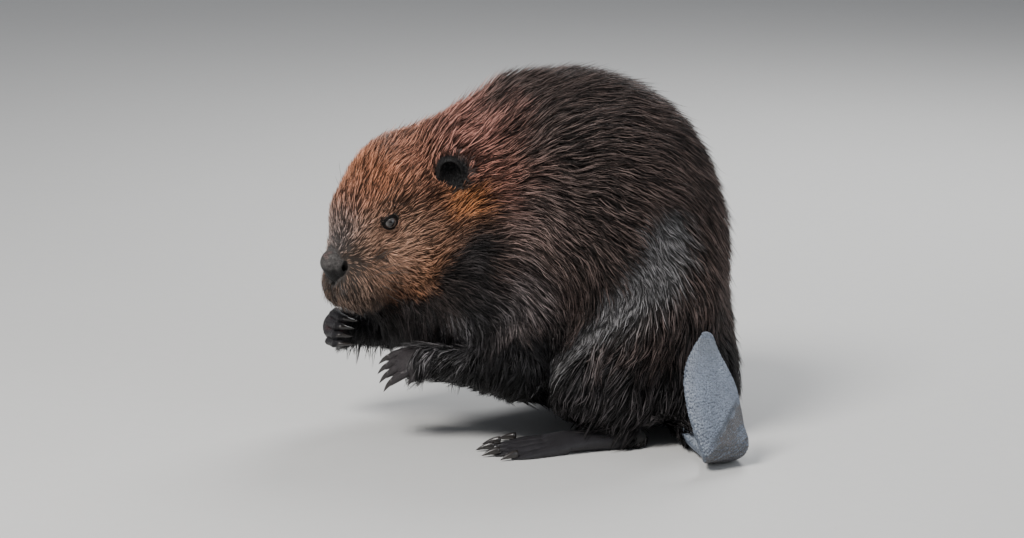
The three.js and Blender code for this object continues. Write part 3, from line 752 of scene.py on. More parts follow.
def node(tree, kind, inputs=(), **settings):
    """Adds a node: an input is given a number, or another node's output to follow."""
    made = tree.nodes.new(kind if "Group" in kind else "ShaderNode" + kind)
    for key, value in settings.items():
        setattr(made, key, value)
    for socket, value in dict(inputs).items():
        if isinstance(value, bpy.types.NodeSocket):
            tree.links.new(value, made.inputs[socket])
        else:
            made.inputs[socket].default_value = value
    return made


def group_of(name, inputs, outputs):
    """A node group with numbers or colours in and out."""
    tree = bpy.data.node_groups.new(name, "ShaderNodeTree")
    for label, value in inputs.items():
        kind = "NodeSocketColor" if isinstance(value, tuple) else "NodeSocketFloat"
        tree.interface.new_socket(label, in_out="INPUT", socket_type=kind).default_value = value
    for label, kind in outputs.items():
        tree.interface.new_socket(label, in_out="OUTPUT", socket_type="NodeSocket" + kind)
    return tree, tree.nodes.new("NodeGroupInput").outputs, tree.nodes.new("NodeGroupOutput").inputs


def use_group(tree, group, inputs):
    return node(tree, "ShaderNodeGroup", inputs, node_tree=group).outputs


# Blotches and fine grain over a base colour, for every soft surface of the animal.
mottle, given, result = group_of(
    "mottle",
    {"Colour": (0.5, 0.5, 0.5, 1), "Blotch size": 60.0, "Grain size": 700.0, "Strength": 0.3},
    {"Colour": "Color", "Height": "Float"},
)
where = node(mottle, "TexCoord").outputs["Object"]
blotch, grain = (
    node(mottle, "TexNoise", {"Vector": where, "Scale": given[scale], "Detail": detail}).outputs["Fac"]
    for scale, detail in (("Blotch size", 3.0), ("Grain size", 2.0))
)
both = node(mottle, "Math", {0: blotch, 1: grain}, operation="ADD").outputs[0]
swing = node(mottle, "Math", {0: both, 1: 1.0}, operation="SUBTRACT").outputs[0]
gain = node(mottle, "Math", {0: swing, 1: given["Strength"], 2: 1.0}, operation="MULTIPLY_ADD").outputs[0]
shaded = node(mottle, "VectorMath", {0: given["Colour"], "Scale": gain}, operation="SCALE").outputs[0]
mottle.links.new(shaded, result["Colour"])
mottle.links.new(grain, result["Height"])

# Small close plates of skin with darker creases, as on the paws and the nose pad.
pebble, given, result = group_of(
    "pebble",
    {"Colour": (0.5, 0.5, 0.5, 1), "Plate size": 900.0, "Crease width": 0.12, "Crease shade": 0.35},
    {"Colour": "Color", "Height": "Float"},
)
where = node(pebble, "TexCoord").outputs["Object"]
warp = node(pebble, "TexNoise", {"Vector": where, "Scale": 300.0}).outputs["Color"]
bent = node(pebble, "VectorMath", {0: warp, 1: (0.0015,) * 3, 2: where}, operation="MULTIPLY_ADD").outputs[0]
cracked = node(
    pebble, "TexVoronoi", {"Vector": bent, "Scale": given["Plate size"]}, feature="DISTANCE_TO_EDGE"
)
plates = cracked.outputs["Distance"]
rise = node(pebble, "MapRange", {"Value": plates, "From Max": given["Crease width"]}).outputs[0]
gain = node(pebble, "MapRange", {"Value": rise, "To Min": given["Crease shade"]}).outputs[0]
shaded = node(pebble, "VectorMath", {0: given["Colour"], "Scale": gain}, operation="SCALE").outputs[0]
pebble.links.new(shaded, result["Colour"])
pebble.links.new(rise, result["Height"])


def painted(name, bump, mottling, plate_size=None, dry_wet=None, **values):
    """A new material that shows the painted colours, blotched, over fine grain or small plates."""
    made, tree, shader = finish_of(name, **values)
    pigment = node(tree, "VertexColor", layer_name="pigment").outputs
    colour, height = pigment["Color"], None
    if plate_size:
        plated = use_group(tree, pebble, {"Colour": colour, "Plate size": plate_size})
        colour, height = plated["Colour"], plated["Height"]
    blotched = use_group(tree, mottle, {"Colour": colour, **mottling})
    tree.links.new(blotched["Colour"], shader.inputs["Base Color"])
    relief = node(tree, "Bump", {"Height": height or blotched["Height"], "Distance": bump})
    tree.links.new(relief.outputs[0], shader.inputs["Normal"])
    if dry_wet:
        dry, wet = dry_wet
        rough = node(tree, "MapRange", {"Value": pigment["Alpha"], "To Min": dry, "To Max": wet})
        tree.links.new(rough.outputs[0], shader.inputs["Roughness"])
    return made


def leather(name, plate_size, rough, depth, blotch=90.0, strength=0.7, gloss=0.35):
    """Bare skin of small plates."""
    mottling = {"Blotch size": blotch, "Strength": strength}
    return painted(name, depth, mottling, plate_size, Roughness=rough, Specular_IOR_Level=gloss)


SKIN_FINISHES = {
    "coat": painted(
        "under_coat", 0.0015, {"Grain size": 900.0, "Strength": 0.9}, Roughness=0.62, Sheen_Weight=0.15
    ),
    "nose": leather("nose_leather", 800, 0.5, 0.0009, blotch=240.0, strength=1.6, gloss=0.22),
    "paw": leather("paw_leather", 700, 0.38, 0.0004),
    "tail": leather("tail_leather", 330, 0.5, 0.0004),
    "ear": leather("ear_leather", 500, 0.6, 0.0003),
    "lid": leather("eyelid", 1300, 0.6, 0.0002, gloss=0.15),
}

TAIL_STATIONS, TAIL_BARE_FROM = 60, 14
tail_line = np.array([ring[0] for ring in tail_rings(TAIL_STATIONS)])


def skin_kind(p):
    """Which of the skin's finishes covers each place."""
    kind = np.full(len(p), "coat", dtype="<U5")
    kind[nose(p) < 0.9] = "nose"
    for name, side in SIDES.items():
        axes = HANDS[name][0]
        past_wrist = (p - WRIST[name]) @ axes[0] > 4
        kind[past_wrist & (gap_to(p, place(WRIST[name], axes, 26, 0, -5)) < 38)] = "paw"
        heel, axes, _ = FEET[name]
        along, across, _ = ((p - heel) @ axes.T).T
        kind[(along > 14) & (p[:, 2] < 26) & (np.abs(across) < 48)] = "paw"
        ring, opening = lids(p, side)
        kind[(ring < 0.8) & (opening < 3.0)] = "lid"
    kind[ear_reach(p) < 1.06] = "ear"
    low = np.nonzero((p[:, 1] < -90) & (p[:, 0] > -32) & (p[:, 2] < 140))[0]
    station = np.linalg.norm(p[low, None] - tail_line, axis=2).argmin(1)
    kind[low[(station >= TAIL_BARE_FROM) & (tail(p[low]) < 5)]] = "tail"
    return kind


NOSE_GREY, NOSE_TOP_HIGHLIGHT, NOSTRIL_SHADE = vec(0.104, 0.097, 0.094), vec(0.24, 0.16, 0.15), vec(0.003, 0.002, 0.002)
PAW_GREY, PAW_PALE, PAW_PINK = vec(0.034, 0.032, 0.036), vec(0.052, 0.045, 0.047), vec(0.12, 0.055, 0.058)
EAR_HOLLOW_SHADE, EAR_RIM, LID = vec(0.0015, 0.0015, 0.0015), vec(0.012, 0.011, 0.011), vec(0.006, 0.005, 0.005)
# The tail's blue is partly its grey skin and partly a painted reflection of the sky; its paler rim is a
# painted highlight.
TAIL_GREY_AND_SKY, TAIL_RIM_HIGHLIGHT = vec(0.225, 0.262, 0.330), vec(0.34, 0.375, 0.43)


def skin_colour(p, kind):
    """Colour of the hide: its bare parts, and under the coat the coat's own markings, darker as painted shade
    deep in the coat.
    """
    # Under the coat the markings are darkened, as painted shade deep in the coat.
    colour = pelt(p) * 0.16
    head = (p - NOSE) @ HEAD.T
    # The top of the pad is lighter and pinker, a painted highlight.
    pad = mixed(NOSE_GREY, NOSE_TOP_HIGHLIGHT, between(12.5, 14.5, head[:, 2] + 1.2 * ripple(p, 9, 12)) * 0.5)
    # The lower part of the pad is darkened as painted shade.
    low = head[:, 2] + 0.35 * np.abs(head[:, 1]) + 1.5 * ripple(p, 7, 14)
    pad = mixed(pad, FUR_BLACK * 0.2, between(11, 1, low) * 0.95)
    # The nostrils and the groove under them are painted near black, as shade in their hollows.
    pad = mixed(pad, NOSTRIL_SHADE, between(1.6, 0.2, nostrils(p)))
    paws = np.tile(PAW_GREY, (len(p), 1))
    paws = mixed(paws, PAW_PALE, between(66, 46, gap_to(p, WRIST["left"])) * 0.8)
    for name, side in SIDES.items():
        axes = HANDS[name][0]
        from_palm = p - place(WRIST[name], axes, 22, 0, 0)
        palm = between(-2, -8, from_palm @ axes[2] + 1.5 * ripple(p, 8, 13))
        paws = mixed(paws, PAW_PINK, palm * between(17, 9, gap_to(from_palm, 0)) * 0.7)
    bare = {
        "nose": pad,
        "paw": paws,
        # The ear is nearly black, darkest deep in its hollow as painted shade.
        "ear": mixed(EAR_HOLLOW_SHADE, EAR_RIM, between(0.55, 0.95, ear_reach(p))),
        "tail": np.tile(TAIL_GREY_AND_SKY * 0.8, (len(p), 1)),
        "lid": np.tile(LID, (len(p), 1)),
    }
    for name, own in bare.items():
        colour[kind == name] = own[kind == name]
    return colour


paint(skin.data, skin_colour(skin_points, skin_kind(skin_points)), wetness(skin_points))
for made in SKIN_FINISHES.values():
    skin.data.materials.append(made)
middle_of = np.empty(len(skin.data.polygons) * 3, np.float32)
skin.data.polygons.foreach_get("center", middle_of)
finish_names = list(SKIN_FINISHES)
worn = [finish_names.index(kind) for kind in skin_kind(middle_of.reshape(-1, 3) / MM)]
skin.data.polygons.foreach_set("material_index", np.array(worn, np.int32))

# ---------------------------------------------------------------- eyes
# Each eye is a small dark ball, a little more curved over the iris, wet and glossy. It is a piece of its
# own that sits in the lids.
IRIS_RADIUS, PUPIL_RADIUS = 4.6, 2.3
EYE_RINGS, EYE_SIDES = 22, 36
BALL_RADIUS, CORNEA_BULGE, CORNEA_SLANT = EYE_RADIUS - 0.15, 0.7, 0.83
EYE_DARK, EYE_BROWN = (0.002, 0.002, 0.002, 1), (0.035, 0.022, 0.018, 1)
# The tones from the middle of the eye outwards, by radius. The grey ring over the iris is partly a painted
# reflection of the sky.
EYE_TONES = [
    (PUPIL_RADIUS, (0.003, 0.002, 0.002, 1)), (PUPIL_RADIUS + 0.6, (0.030, 0.026, 0.025, 1)),
    (IRIS_RADIUS + 0.4, (0.080, 0.073, 0.070, 1)), (IRIS_RADIUS + 1.2, (0.012, 0.009, 0.009, 1)),
]


def circle(axes, sides, wide=1.0):
    """Points of a ring round the first axis."""
    around = np.linspace(0, 2 * math.pi, sides, endpoint=False)[:, None]
    return axes[1] * np.cos(around) * wide + axes[2] * np.sin(around)


def ball(side):
    """Rings from the front of the eye to the back, with the cornea's bulge."""
    axes, centre = eye_axes(side), eye_centre(side)
    rings = [[centre + axes[0] * (EYE_RADIUS + CORNEA_BULGE)]]
    for slant in np.arange(1, EYE_RINGS) * math.pi / EYE_RINGS:
        r = BALL_RADIUS + (CORNEA_BULGE * max(0, math.cos(slant * 1.9)) if slant < CORNEA_SLANT else 0)
        rings.append(centre + axes[0] * r * math.cos(slant) + circle(axes, EYE_SIDES) * r * math.sin(slant))
    points = np.concatenate(rings + [[centre - axes[0] * BALL_RADIUS]])
    near = np.arange(EYE_SIDES)
    far, last = (near + 1) % EYE_SIDES, len(points) - 1
    caps = np.concatenate([
        np.stack([near * 0, 1 + near, 1 + far], 1),
        np.stack([near * 0 + last, last - EYE_SIDES + far, last - EYE_SIDES + near], 1),
    ])
    here = 1 + np.arange(EYE_RINGS - 2)[:, None] * EYE_SIDES
    there = here + EYE_SIDES
    return points, [caps, np.stack([here + near, there + near, there + far, here + far], 2).reshape(-1, 4)]


for name, side in SIDES.items():
    made, tree, shader = finish_of(
        f"eye_{name}", Roughness=0.06, IOR=1.38, Coat_Weight=1.0, Coat_Roughness=0.03, Coat_IOR=1.4
    )
    where = node(tree, "TexCoord").outputs["Object"]
    front = tuple((eye_centre(side) + eye_axes(side)[0] * EYE_RADIUS) * MM)
    gap = node(tree, "VectorMath", {0: where, 1: front}, operation="DISTANCE").outputs["Value"]
    zone = node(tree, "MapRange", {"Value": gap, "From Max": EYE_RADIUS * MM}).outputs[0]
    ramp = node(tree, "ValToRGB", {0: zone})
    stops = ramp.color_ramp.elements
    stops[0].color, stops[1].color = EYE_DARK, EYE_BROWN
    for reach, colour in EYE_TONES:
        stops.new(reach / EYE_RADIUS).color = colour
    shade = use_group(tree, mottle, {"Colour": ramp.outputs["Color"], "Grain size": 2500.0, "Strength": 0.6})
    tree.links.new(shade["Colour"], shader.inputs["Base Color"])
    eye = mesh_object(f"eyeball_{name}", *ball(side))
    eye.data.materials.append(made)
    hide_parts(f"eye_{name}")
    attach(eye, "root")

# ---------------------------------------------------------------- claws
# Dark horn claws grow from the end of every finger and toe. They curve down a little to a blunt point
# and are joined into one piece for each paw.
CLAW_SIDES, CLAW_STEPS, CLAW_DROOP, CLAW_FLAT = 10, 7, 0.24, 0.82
CLAW_SINK, CLAW_RISE, TOE_CLAW_HEIGHT = 3.5, 0.8, 5.2


def tube_faces(sides, steps):
    """Quads between rings of points, and triangles from the last ring and the first to a point each."""
    near = np.arange(sides)
    far, here = (near + 1) % sides, np.arange(steps - 1)[:, None] * sides
    quads = np.stack([here + near, here + far, here + sides + far, here + sides + near], 2).reshape(-1, 4)
    last, tip = (steps - 1) * sides, near * 0 + steps * sides
    ends = [np.stack([last + near, last + far, tip], 1), np.stack([far, near, tip + 1], 1)]
    return quads, np.concatenate(ends)


def rod(root, axes, length, sag, thick, sides, steps, wide=1.0, butt=1):
    """A slender solid along the first axis that ends in a point and has moved by `sag` there."""
    ring = circle(axes, sides, wide)
    points = []
    for share in np.arange(steps) / steps:
        points.append(root + axes[0] * length * share + sag * share**2 + ring * thick(share))
    points.append([root + axes[0] * length + sag, root - axes[0] * butt])
    quads, ends = tube_faces(sides, steps)
    return np.concatenate(points), [ends, quads]


def joined(parts):
    """Many small meshes as one: their points and their groups of faces."""
    points, faces, start = [], {}, 0
    for own_points, own_faces in parts:
        points.append(own_points)
        for group in own_faces:
            faces.setdefault(group.shape[1], []).append(group + start)
        start += len(own_points)
    return np.concatenate(points), [np.concatenate(groups) for groups in faces.values()]


def streaked(name, noise, dark, light, dark_until=0.0, **values):
    """A new material with streaks of two tones, its Principled shader and the streaks themselves."""
    made, tree, shader = finish_of(name, **values)
    where = node(tree, "TexCoord").outputs["Object"]
    streak = node(tree, "TexNoise", {"Vector": where, **noise}).outputs["Fac"]
    shade = node(tree, "ValToRGB", {0: streak})
    for stop, tone in zip(shade.color_ramp.elements, (dark, light)):
        stop.color = (*tone, 1)
    shade.color_ramp.elements[0].position = dark_until
    tree.links.new(shade.outputs["Color"], shader.inputs["Base Color"])
    return made, tree, shader, streak


horn, tree, shader, streak = streaked(
    "horn", {"Scale": 420.0, "Detail": 4.0, "Distortion": 1.2},
    (0.012, 0.010, 0.010), (0.055, 0.046, 0.040), 0.35,
    Roughness=0.28, Coat_Weight=0.3, Coat_Roughness=0.2,
)
tree.links.new(node(tree, "Bump", {"Height": streak, "Distance": 0.0002}).outputs[0], shader.inputs["Normal"])
for name in SIDES:
    for limb_name, digits in (("hand", fingers(name)), ("foot", toes(name))):
        claws = []
        for *digit, claw_length, claw_radius in digits:
            rings, aim = digit_rings(*digit)
            end, above = rings[-1][0], rings[-1][4]
            if limb_name == "foot":
                aim, above = digit[1], UP
                end = end * vec(1, 1, 0) + UP * TOE_CLAW_HEIGHT
            root, axes = end - aim * CLAW_SINK + above * CLAW_RISE, frame_of(aim, above)
            length = claw_length + CLAW_SINK * 0.5

            def thick(share):
                return claw_radius * (1 - share**1.6) + 0.15

            droop = -axes[2] * length * CLAW_DROOP
            claws.append(rod(root, axes, length, droop, thick, CLAW_SIDES, CLAW_STEPS, CLAW_FLAT))
        piece = mesh_object(f"claws_{limb_name}_{name}", *joined(claws))
        piece.data.materials.append(horn)
        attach(piece, "root")

# ---------------------------------------------------------------- tail scales
# The blade of the tail is covered on both faces by small horny scales, in slanting rows, each a low
# plate that overlaps the skin behind it. They are joined into one mesh.
SCALE_LONG, SCALE_WIDE, SCALE_RISE, SCALE_SIDES = 2.75, 2.15, 0.24, 6
SCALE_RINGS = ((1.0, -0.35), (0.84, 0.7))  # the foot and the top of a scale: how wide, and how high
ROW_GAP, SCALE_GAP, ROW_SLANT = 0.8, 0.93, 3.2
BLADE_EDGE = 0.93  # how far across the scales reach
scale_random = np.random.default_rng(11)
tail_fine = tail_rings(240)


def tail_place(along, across, face):
    """A point on the tail's face, its way along the tail, its way across and its outward direction."""
    table = np.array([[*centre, wide, high, *side, *up] for centre, wide, high, side, up in tail_fine])
    i = np.clip(along.astype(int), 0, len(table) - 2)
    f = (along - i)[:, None]
    row = table[i] * (1 - f) + table[i + 1] * f
    centre, (wide, high), side, up = row[:, :3], row[:, 3:5].T, unit(row[:, 5:8]), unit(row[:, 8:])
    lift = np.sqrt(np.maximum(1 - across**2, 0.0))
    point = centre + side * (wide * across)[:, None] + up * (high * lift * face)[:, None]
    outward = unit(side * (across / wide)[:, None] + up * (lift * face / high)[:, None])
    forward = unit(np.cross(up, side))
    forward = unit(forward - outward * (forward * outward).sum(1, keepdims=True))
    return point, forward, np.cross(outward, forward), outward


def scale_seats():
    """Where each scale sits: how far along the tail, how far across and on which face."""
    stations = len(tail_fine)
    centres = np.array([ring[0] for ring in tail_fine])
    travelled = np.concatenate([[0], np.cumsum(np.linalg.norm(np.diff(centres, axis=0), axis=1))])
    start = travelled[int(TAIL_BARE_FROM / (TAIL_STATIONS - 1) * (stations - 1))]
    seats = []
    for row, way in enumerate(np.arange(start, travelled[-1] - 1, SCALE_LONG * ROW_GAP)):
        at = np.interp(way, travelled, np.arange(stations))
        count = int(tail_fine[int(at)][1] * 2.05 / (SCALE_WIDE * SCALE_GAP))
        across = np.linspace(-BLADE_EDGE, BLADE_EDGE, count) + (row % 2 - 0.5) * BLADE_EDGE / count
        seats += [np.stack([at + across * ROW_SLANT, across, np.full(count, face)], 1) for face in (-1, 1)]
    seats = np.concatenate(seats)
    seats[:, :2] += scale_random.normal(size=(len(seats), 2)) * vec(0.45, 0.006)
    return seats[(np.abs(seats[:, 1]) < 0.95) & (seats[:, 0] < stations - 2)]


def repeated(faces, count, each):
    """The faces of `count` like pieces with `each` points, one piece after another."""
    offset = (np.arange(count) * each)[:, None, None]
    return [(group + offset).reshape(-1, group.shape[1]) for group in faces]


seats = scale_seats()
point, forward, side, outward = tail_place(*seats.T)
size = scale_random.uniform(0.88, 1.14, len(seats))[:, None, None]
around = np.linspace(0, 2 * math.pi, SCALE_SIDES, endpoint=False)[None, :, None]
layers = []
for reach, rise in SCALE_RINGS:
    x, y = np.cos(around) * SCALE_LONG / 2 * reach, np.sin(around) * SCALE_WIDE / 2 * reach
    tilt = (0.25 * np.cos(around) * reach + rise) * SCALE_RISE
    spread = size * (forward[:, None] * x + side[:, None] * y)
    layers.append(point[:, None] + spread + outward[:, None] * tilt)
top, under = point + outward * SCALE_RISE * 1.05, point - outward * 0.6
points = np.concatenate(layers + [top[:, None], under[:, None]], 1)
points[..., 2] = np.maximum(points[..., 2], 0.1)
each = points.shape[1]
points = points.reshape(-1, 3)
scales = mesh_object("tail_scales", points, repeated(tube_faces(SCALE_SIDES, 2), len(seats), each))

# Blue-grey scales, the blue partly a painted reflection of the sky, paler along the upper rim as a painted
# highlight, darker brown low on one side of a dark line near the floor, the line painted shade as in a
# crease.
blade, height = np.repeat(seats, each, 0), points[:, 2]
beyond = (points[:, [0, 2]] - vec(22, 26)) @ unit(vec(35, -25))
worn = between(-1, 3, beyond + 1.5 * ripple(points, 14, 21)) * between(76, 60, height)
# A dark line near the floor is painted shade, as in a crease.
crease_shade = between(4.5, 0, np.abs(beyond + 1.5)) * between(68, 56, height) * between(20, 30, height)
tone = np.tile(TAIL_GREY_AND_SKY, (len(points), 1))
for colour, share in (
    (TAIL_RIM_HIGHLIGHT, between(0.45, 0.95, -blade[:, 1]) * 0.7),
    (vec(0.095, 0.085, 0.078), worn * 0.88),
    (vec(0.030, 0.032, 0.036), crease_shade * 0.75),
    (vec(0.16, 0.175, 0.19), between(92, 122, height + 4 * ripple(points, 12, 24)) * 0.6),
    (vec(0.105, 0.120, 0.145), between(0.35, 0.9, ripple(points, 4, 22)) * 0.4),
):
    tone = mixed(tone, colour, share)
tone *= np.repeat(scale_random.uniform(0.84, 1.12, len(seats)), each)[:, None]
paint(scales.data, tone, between(-0.2, 0.8, ripple(points, 25, 23)))
scale_horn = painted("scale_horn", 0.0003, {"Grain size": 1400.0, "Strength": 0.8}, dry_wet=(0.5, 0.3))
scales.data.materials.append(scale_horn)
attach(scales, "root")

# ---------------------------------------------------------------- coat
# Long coarse guard hairs cover the animal in small pointed locks, over shorter, darker underfur. Each lock
# is a slender solid that is rooted in the hide, lies back along the body and ends free, in one mesh for
# each part of the coat.
ROOT_SINK = 0.9
PATCH = 0.003


def near_skin(p):
    """Height above the hide and the way straight out of it, read from the hide's own grid."""
    g = (p - HIDE_LOW) / NEAR_CELL - 0.5
    i = np.clip(np.floor(g).astype(int), 0, np.array(near_hide.shape) - 2)
    high_share = np.clip(g - i, 0, 1)
    height, slope = np.zeros(len(p)), np.zeros((len(p), 3))
    for corner in np.ndindex(2, 2, 2):
        value = near_hide[tuple((i + corner).T)]
        share = np.where(corner, high_share, 1 - high_share)
        height += value * share.prod(1)
        for axis in range(3):
            others = share[:, axis - 2] * share[:, axis - 1]
            slope[:, axis] += value * others * (2 * corner[axis] - 1)
    slope /= NEAR_CELL
    steep = np.maximum(np.linalg.norm(slope, axis=1), 0.3)
    return height / steep, slope / steep[:, None]


# The lie of the coat in side view: place along X and Z, and the way it points in degrees up from +X.
LIE = np.array([
    (-185, 330, 38), (-125, 345, 18), (-60, 345, -8), (-5, 312, -42), (38, 240, -72), (52, 160, -86),
    (52, 80, -90), (-190, 270, 8), (-110, 292, 4), (-35, 282, -18), (8, 230, -48), (-205, 222, -12),
    (-135, 212, -22), (-65, 222, -34), (-25, 190, -58), (-225, 150, -42), (-165, 140, -46), (-115, 140, -52),
    (-205, 80, -62), (-145, 66, -66), (-60, 128, -124), (-100, 66, -126), (-32, 56, -112), (-85, 25, -140),
    (-285, 128, -78), (-255, 107, -84), (10, 20, -70), (-200, 20, -30),
], float)
LIE_SPREAD = 34
TAIL_WAY = vec(0.15, -1, -0.12)


def lie_of(p, normal):
    """Which way the coat lies on the skin at each place."""
    gap = ((p[:, None, [0, 2]] - LIE[None, :, :2]) ** 2).sum(2)
    weight = np.exp(-gap / (2 * LIE_SPREAD**2)) + 1e-9
    turn = np.radians(LIE[:, 2])
    body = np.stack([weight @ np.cos(turn), np.zeros(len(p)), weight @ np.sin(turn)], 1)
    away = p - on_head(6, 0, -4)
    way = mixed(unit(body), unit(away), between(205, 120, gap_to(away, 0)))
    for name, side in SIDES.items():
        for a, b, radius in ((ELBOW[name] + UP * 30, ELBOW[name], 46), (ELBOW[name], WRIST[name], 40)):
            near = between(radius, radius * 0.5, limb(p, a, b, 0, 0)) * 0.85
            way = mixed(way, unit(b - a) - UP * 1.5, near)
        way = mixed(way, ear_axes(side)[2] - HEAD[0] * 0.5, between(21, 15, gap_to(p, ear_centre(side))))
    x, y, z = p.T
    way = mixed(way, TAIL_WAY, between(-40, -95, y) * between(46, 30, z) * between(-45, -20, x))
    turn = 0.2 * ripple(p, 46, 31) + 0.13 * ripple(p, 17, 32)
    way = unit(way - normal * (way * normal).sum(1, keepdims=True))
    return unit(way + np.cross(normal, way) * turn[:, None])


def unrolled(p, normal):
    """Place of each root on the hide's own unwrap: six charts by the way the hide faces, side by side."""
    row, axis = np.arange(len(p)), np.abs(normal).argmax(1)
    share = (p - HIDE_LOW) / (HIDE_HIGH - HIDE_LOW)
    first, second = share[row, (axis + 1) % 3], share[row, (axis + 2) % 3]
    facing = normal[row, axis] > 0
    return np.stack([(axis + 0.02 + 0.95 * first) / 3, (facing + 0.02 + 0.95 * second) / 2], 1)


four_sided = [face.vertices[:] for face in skin.data.polygons if len(face.vertices) == 4]
skin_corner = skin_points[np.array(four_sided)]
skin_middle = skin_corner.mean(1)
across = np.cross(skin_corner[:, 2] - skin_corner[:, 0], skin_corner[:, 3] - skin_corner[:, 1])
skin_area = np.linalg.norm(across, axis=1) / 2
skin_is = skin_kind(skin_middle)

# What sets the two layers apart: the underfur is short, low and dark, and the guard hairs over it are
# long, pale towards their tips and stand out at their ends. The underfur's dark and the guard hairs' dark
# roots are partly painted shade deep in the coat.
UNDER = {
    "joints": 2, "long": 0.75, "wide": 1.0, "high": (0.2, 0.5), "rise": 0.8, "pull": 0.1,
    "shade": (0.08, 0.22, 0.38), "tint": (0.7, 1.2), "pale": 0, "stray": 0,
}
GUARD = {
    "joints": 3, "long": 1.15, "wide": 0.98, "high": (0.5, 1.15), "rise": 1.5, "pull": 0.35,
    "shade": (0.2, 1.1, 1.75), "tint": (0.15, 0.6), "pale": 0.42, "stray": 0.12,
}
PALE = (1.6, 2.8)  # how much lighter the pale guard hairs are
STRAY_LIFT, CURL, BRIGHTEST = 1.4, 0.2, 0.75
GIRTHS = {2: (0.85, 0.85), 3: (0.7, 1.0, 0.68)}  # how wide a lock is at each joint
hair = painted(
    "guard_hair", 0.0003, {"Blotch size": 45.0, "Grain size": 1500.0, "Strength": 0.8},
    dry_wet=(0.44, 0.27), Specular_IOR_Level=0.26,
)


def at_each(measure, p):
    """A measure for each place, from a number or from a function of place."""
    return measure(p) if callable(measure) else np.full(len(p), measure)


def locks(name, side, cover, count, seed, layer, length, width, lift, slot, on="coat", hang=0, tone=pelt):
    """Grows `count` locks where `cover` says, each with its own length, width and height at the tip."""
    chance = np.random.default_rng(seed)
    joints, each = layer["joints"], layer["joints"] * 3 + 1
    weight = skin_area * cover(skin_middle, side) * (skin_is == on)
    steps = np.cumsum(weight)
    pick = np.searchsorted(steps, (np.arange(count) + chance.random(count)) / count * steps[-1])
    corner = skin_corner[pick.clip(0, len(weight) - 1)]
    a, b = chance.random((2, count, 1))
    one_edge = corner[:, 0] * (1 - a) + corner[:, 1] * a
    other_edge = corner[:, 3] * (1 - a) + corner[:, 2] * a
    root = one_edge * (1 - b) + other_edge * b
    long = at_each(length, root) * layer["long"] * chance.uniform(0.7, 1.2, count)
    wide = at_each(width, root) * layer["wide"] * chance.uniform(0.7, 1.3, count)
    high = at_each(lift, root) * chance.uniform(*layer["high"], count)
    high *= np.where(chance.random(count) < layer["stray"], STRAY_LIFT, 1)
    soak = wetness(root)
    _, out = near_skin(root)
    line, outs = [root - out * ROOT_SINK], [out]
    at, swing = root, chance.normal(size=count) * CURL
    for n in range(1, joints + 1):
        share = n / joints
        way = unit(lie_of(at, out) * (1 - hang * share) - UP * hang * share)
        way = unit(way + np.cross(out, way) * (swing + chance.normal(size=count) * CURL * 0.6)[:, None])
        at = at + way * (long / joints)[:, None]
        height, out = near_skin(at)
        at = at + out * np.clip(high * share ** layer["rise"] - height, -14 * (1 - hang), 14)[:, None]
        at[:, 2] = np.maximum(at[:, 2], 1.2)
        swing = -swing * 0.7
        line.append(at)
        outs.append(out)
    line, outs = np.stack(line, 1), np.stack(outs, 1)

    # Neighbours lean together towards their tips, most where the coat is wet.
    leads = chance.permutation(count)[:max(count // 6, 1)]
    tree = KDTree(len(leads))
    for n, place_of in enumerate(root[leads]):
        tree.insert(place_of, n)
    tree.balance()
    own = leads[[tree.find(place_of)[1] for place_of in root]]
    pull = layer["pull"] + 0.4 * soak
    for n in range(1, joints + 1):
        line[:, n] += (line[own, n] - line[:, n]) * (pull * (n / joints) ** 1.4)[:, None]

    # Each lock is three-sided, flat on the coat below it, and comes to a point.
    along = np.gradient(line, axis=1)
    beside = unit(np.cross(along, outs))
    proud = unit(np.cross(beside, along))[:, :joints]
    half = (wide[:, None] * vec(*GIRTHS[joints]) / 2)[..., None]
    core, beside = line[:, :joints], beside[:, :joints] * half
    ring = np.stack([core - beside, core + beside, core + proud * half * 0.8], 2)
    points = np.concatenate([ring.reshape(count, joints * 3, 3), line[:, joints:]], 1)
    points[..., 2] = np.maximum(points[..., 2], 0.3)
    quads, ends = tube_faces(3, joints)
    faces = repeated((quads, np.concatenate([ends[:3], [[2, 1, 0]]])), count, each)
    piece = mesh_object(name, points.reshape(-1, 3), faces)

    share = np.repeat(np.arange(joints + 1) / joints, 3)[:each]
    pale = chance.random(count) < layer["pale"]
    tint = np.where(pale, chance.uniform(*PALE, count), chance.uniform(*layer["tint"], count))
    tint = 1 + (tint - 1) * (1 - 0.65 * wet_patch(root))
    base = tone(root + outs[:, 0] * 2) * (tint * chance.uniform(0.8, 1.2, count)[own])[:, None]
    colour = base[:, None] * np.interp(share, (0, 0.5, 1), layer["shade"])[None, :, None]
    colour = colour * np.minimum(1, BRIGHTEST / colour.max(axis=2, keepdims=True))
    paint(piece.data, colour.reshape(-1, 3), np.repeat(soak, each))

    spot = unrolled(root, outs[:, 0])
    corner_of = np.empty(len(piece.data.loops), np.int32)
    piece.data.loops.foreach_get("vertex_index", corner_of)
    own_part = corner_of % each
    place_on = np.stack([share[own_part] - 0.5, (own_part % 3) / 2 - 0.5], 1) * PATCH
    uv = piece.data.uv_layers.new(name="OFBake")
    uv.data.foreach_set("uv", (spot[corner_of // each] + place_on).astype(np.float32).ravel())
    piece.data.materials.append(hair)
    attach(piece, "root")


HEAD_COAT_END, FACE_END, CHEEK_END = 168, 60, 124


def eye_gap(p):
    return np.minimum(*(gap_to(p, eye_centre(side)) for side in SIDES.values()))


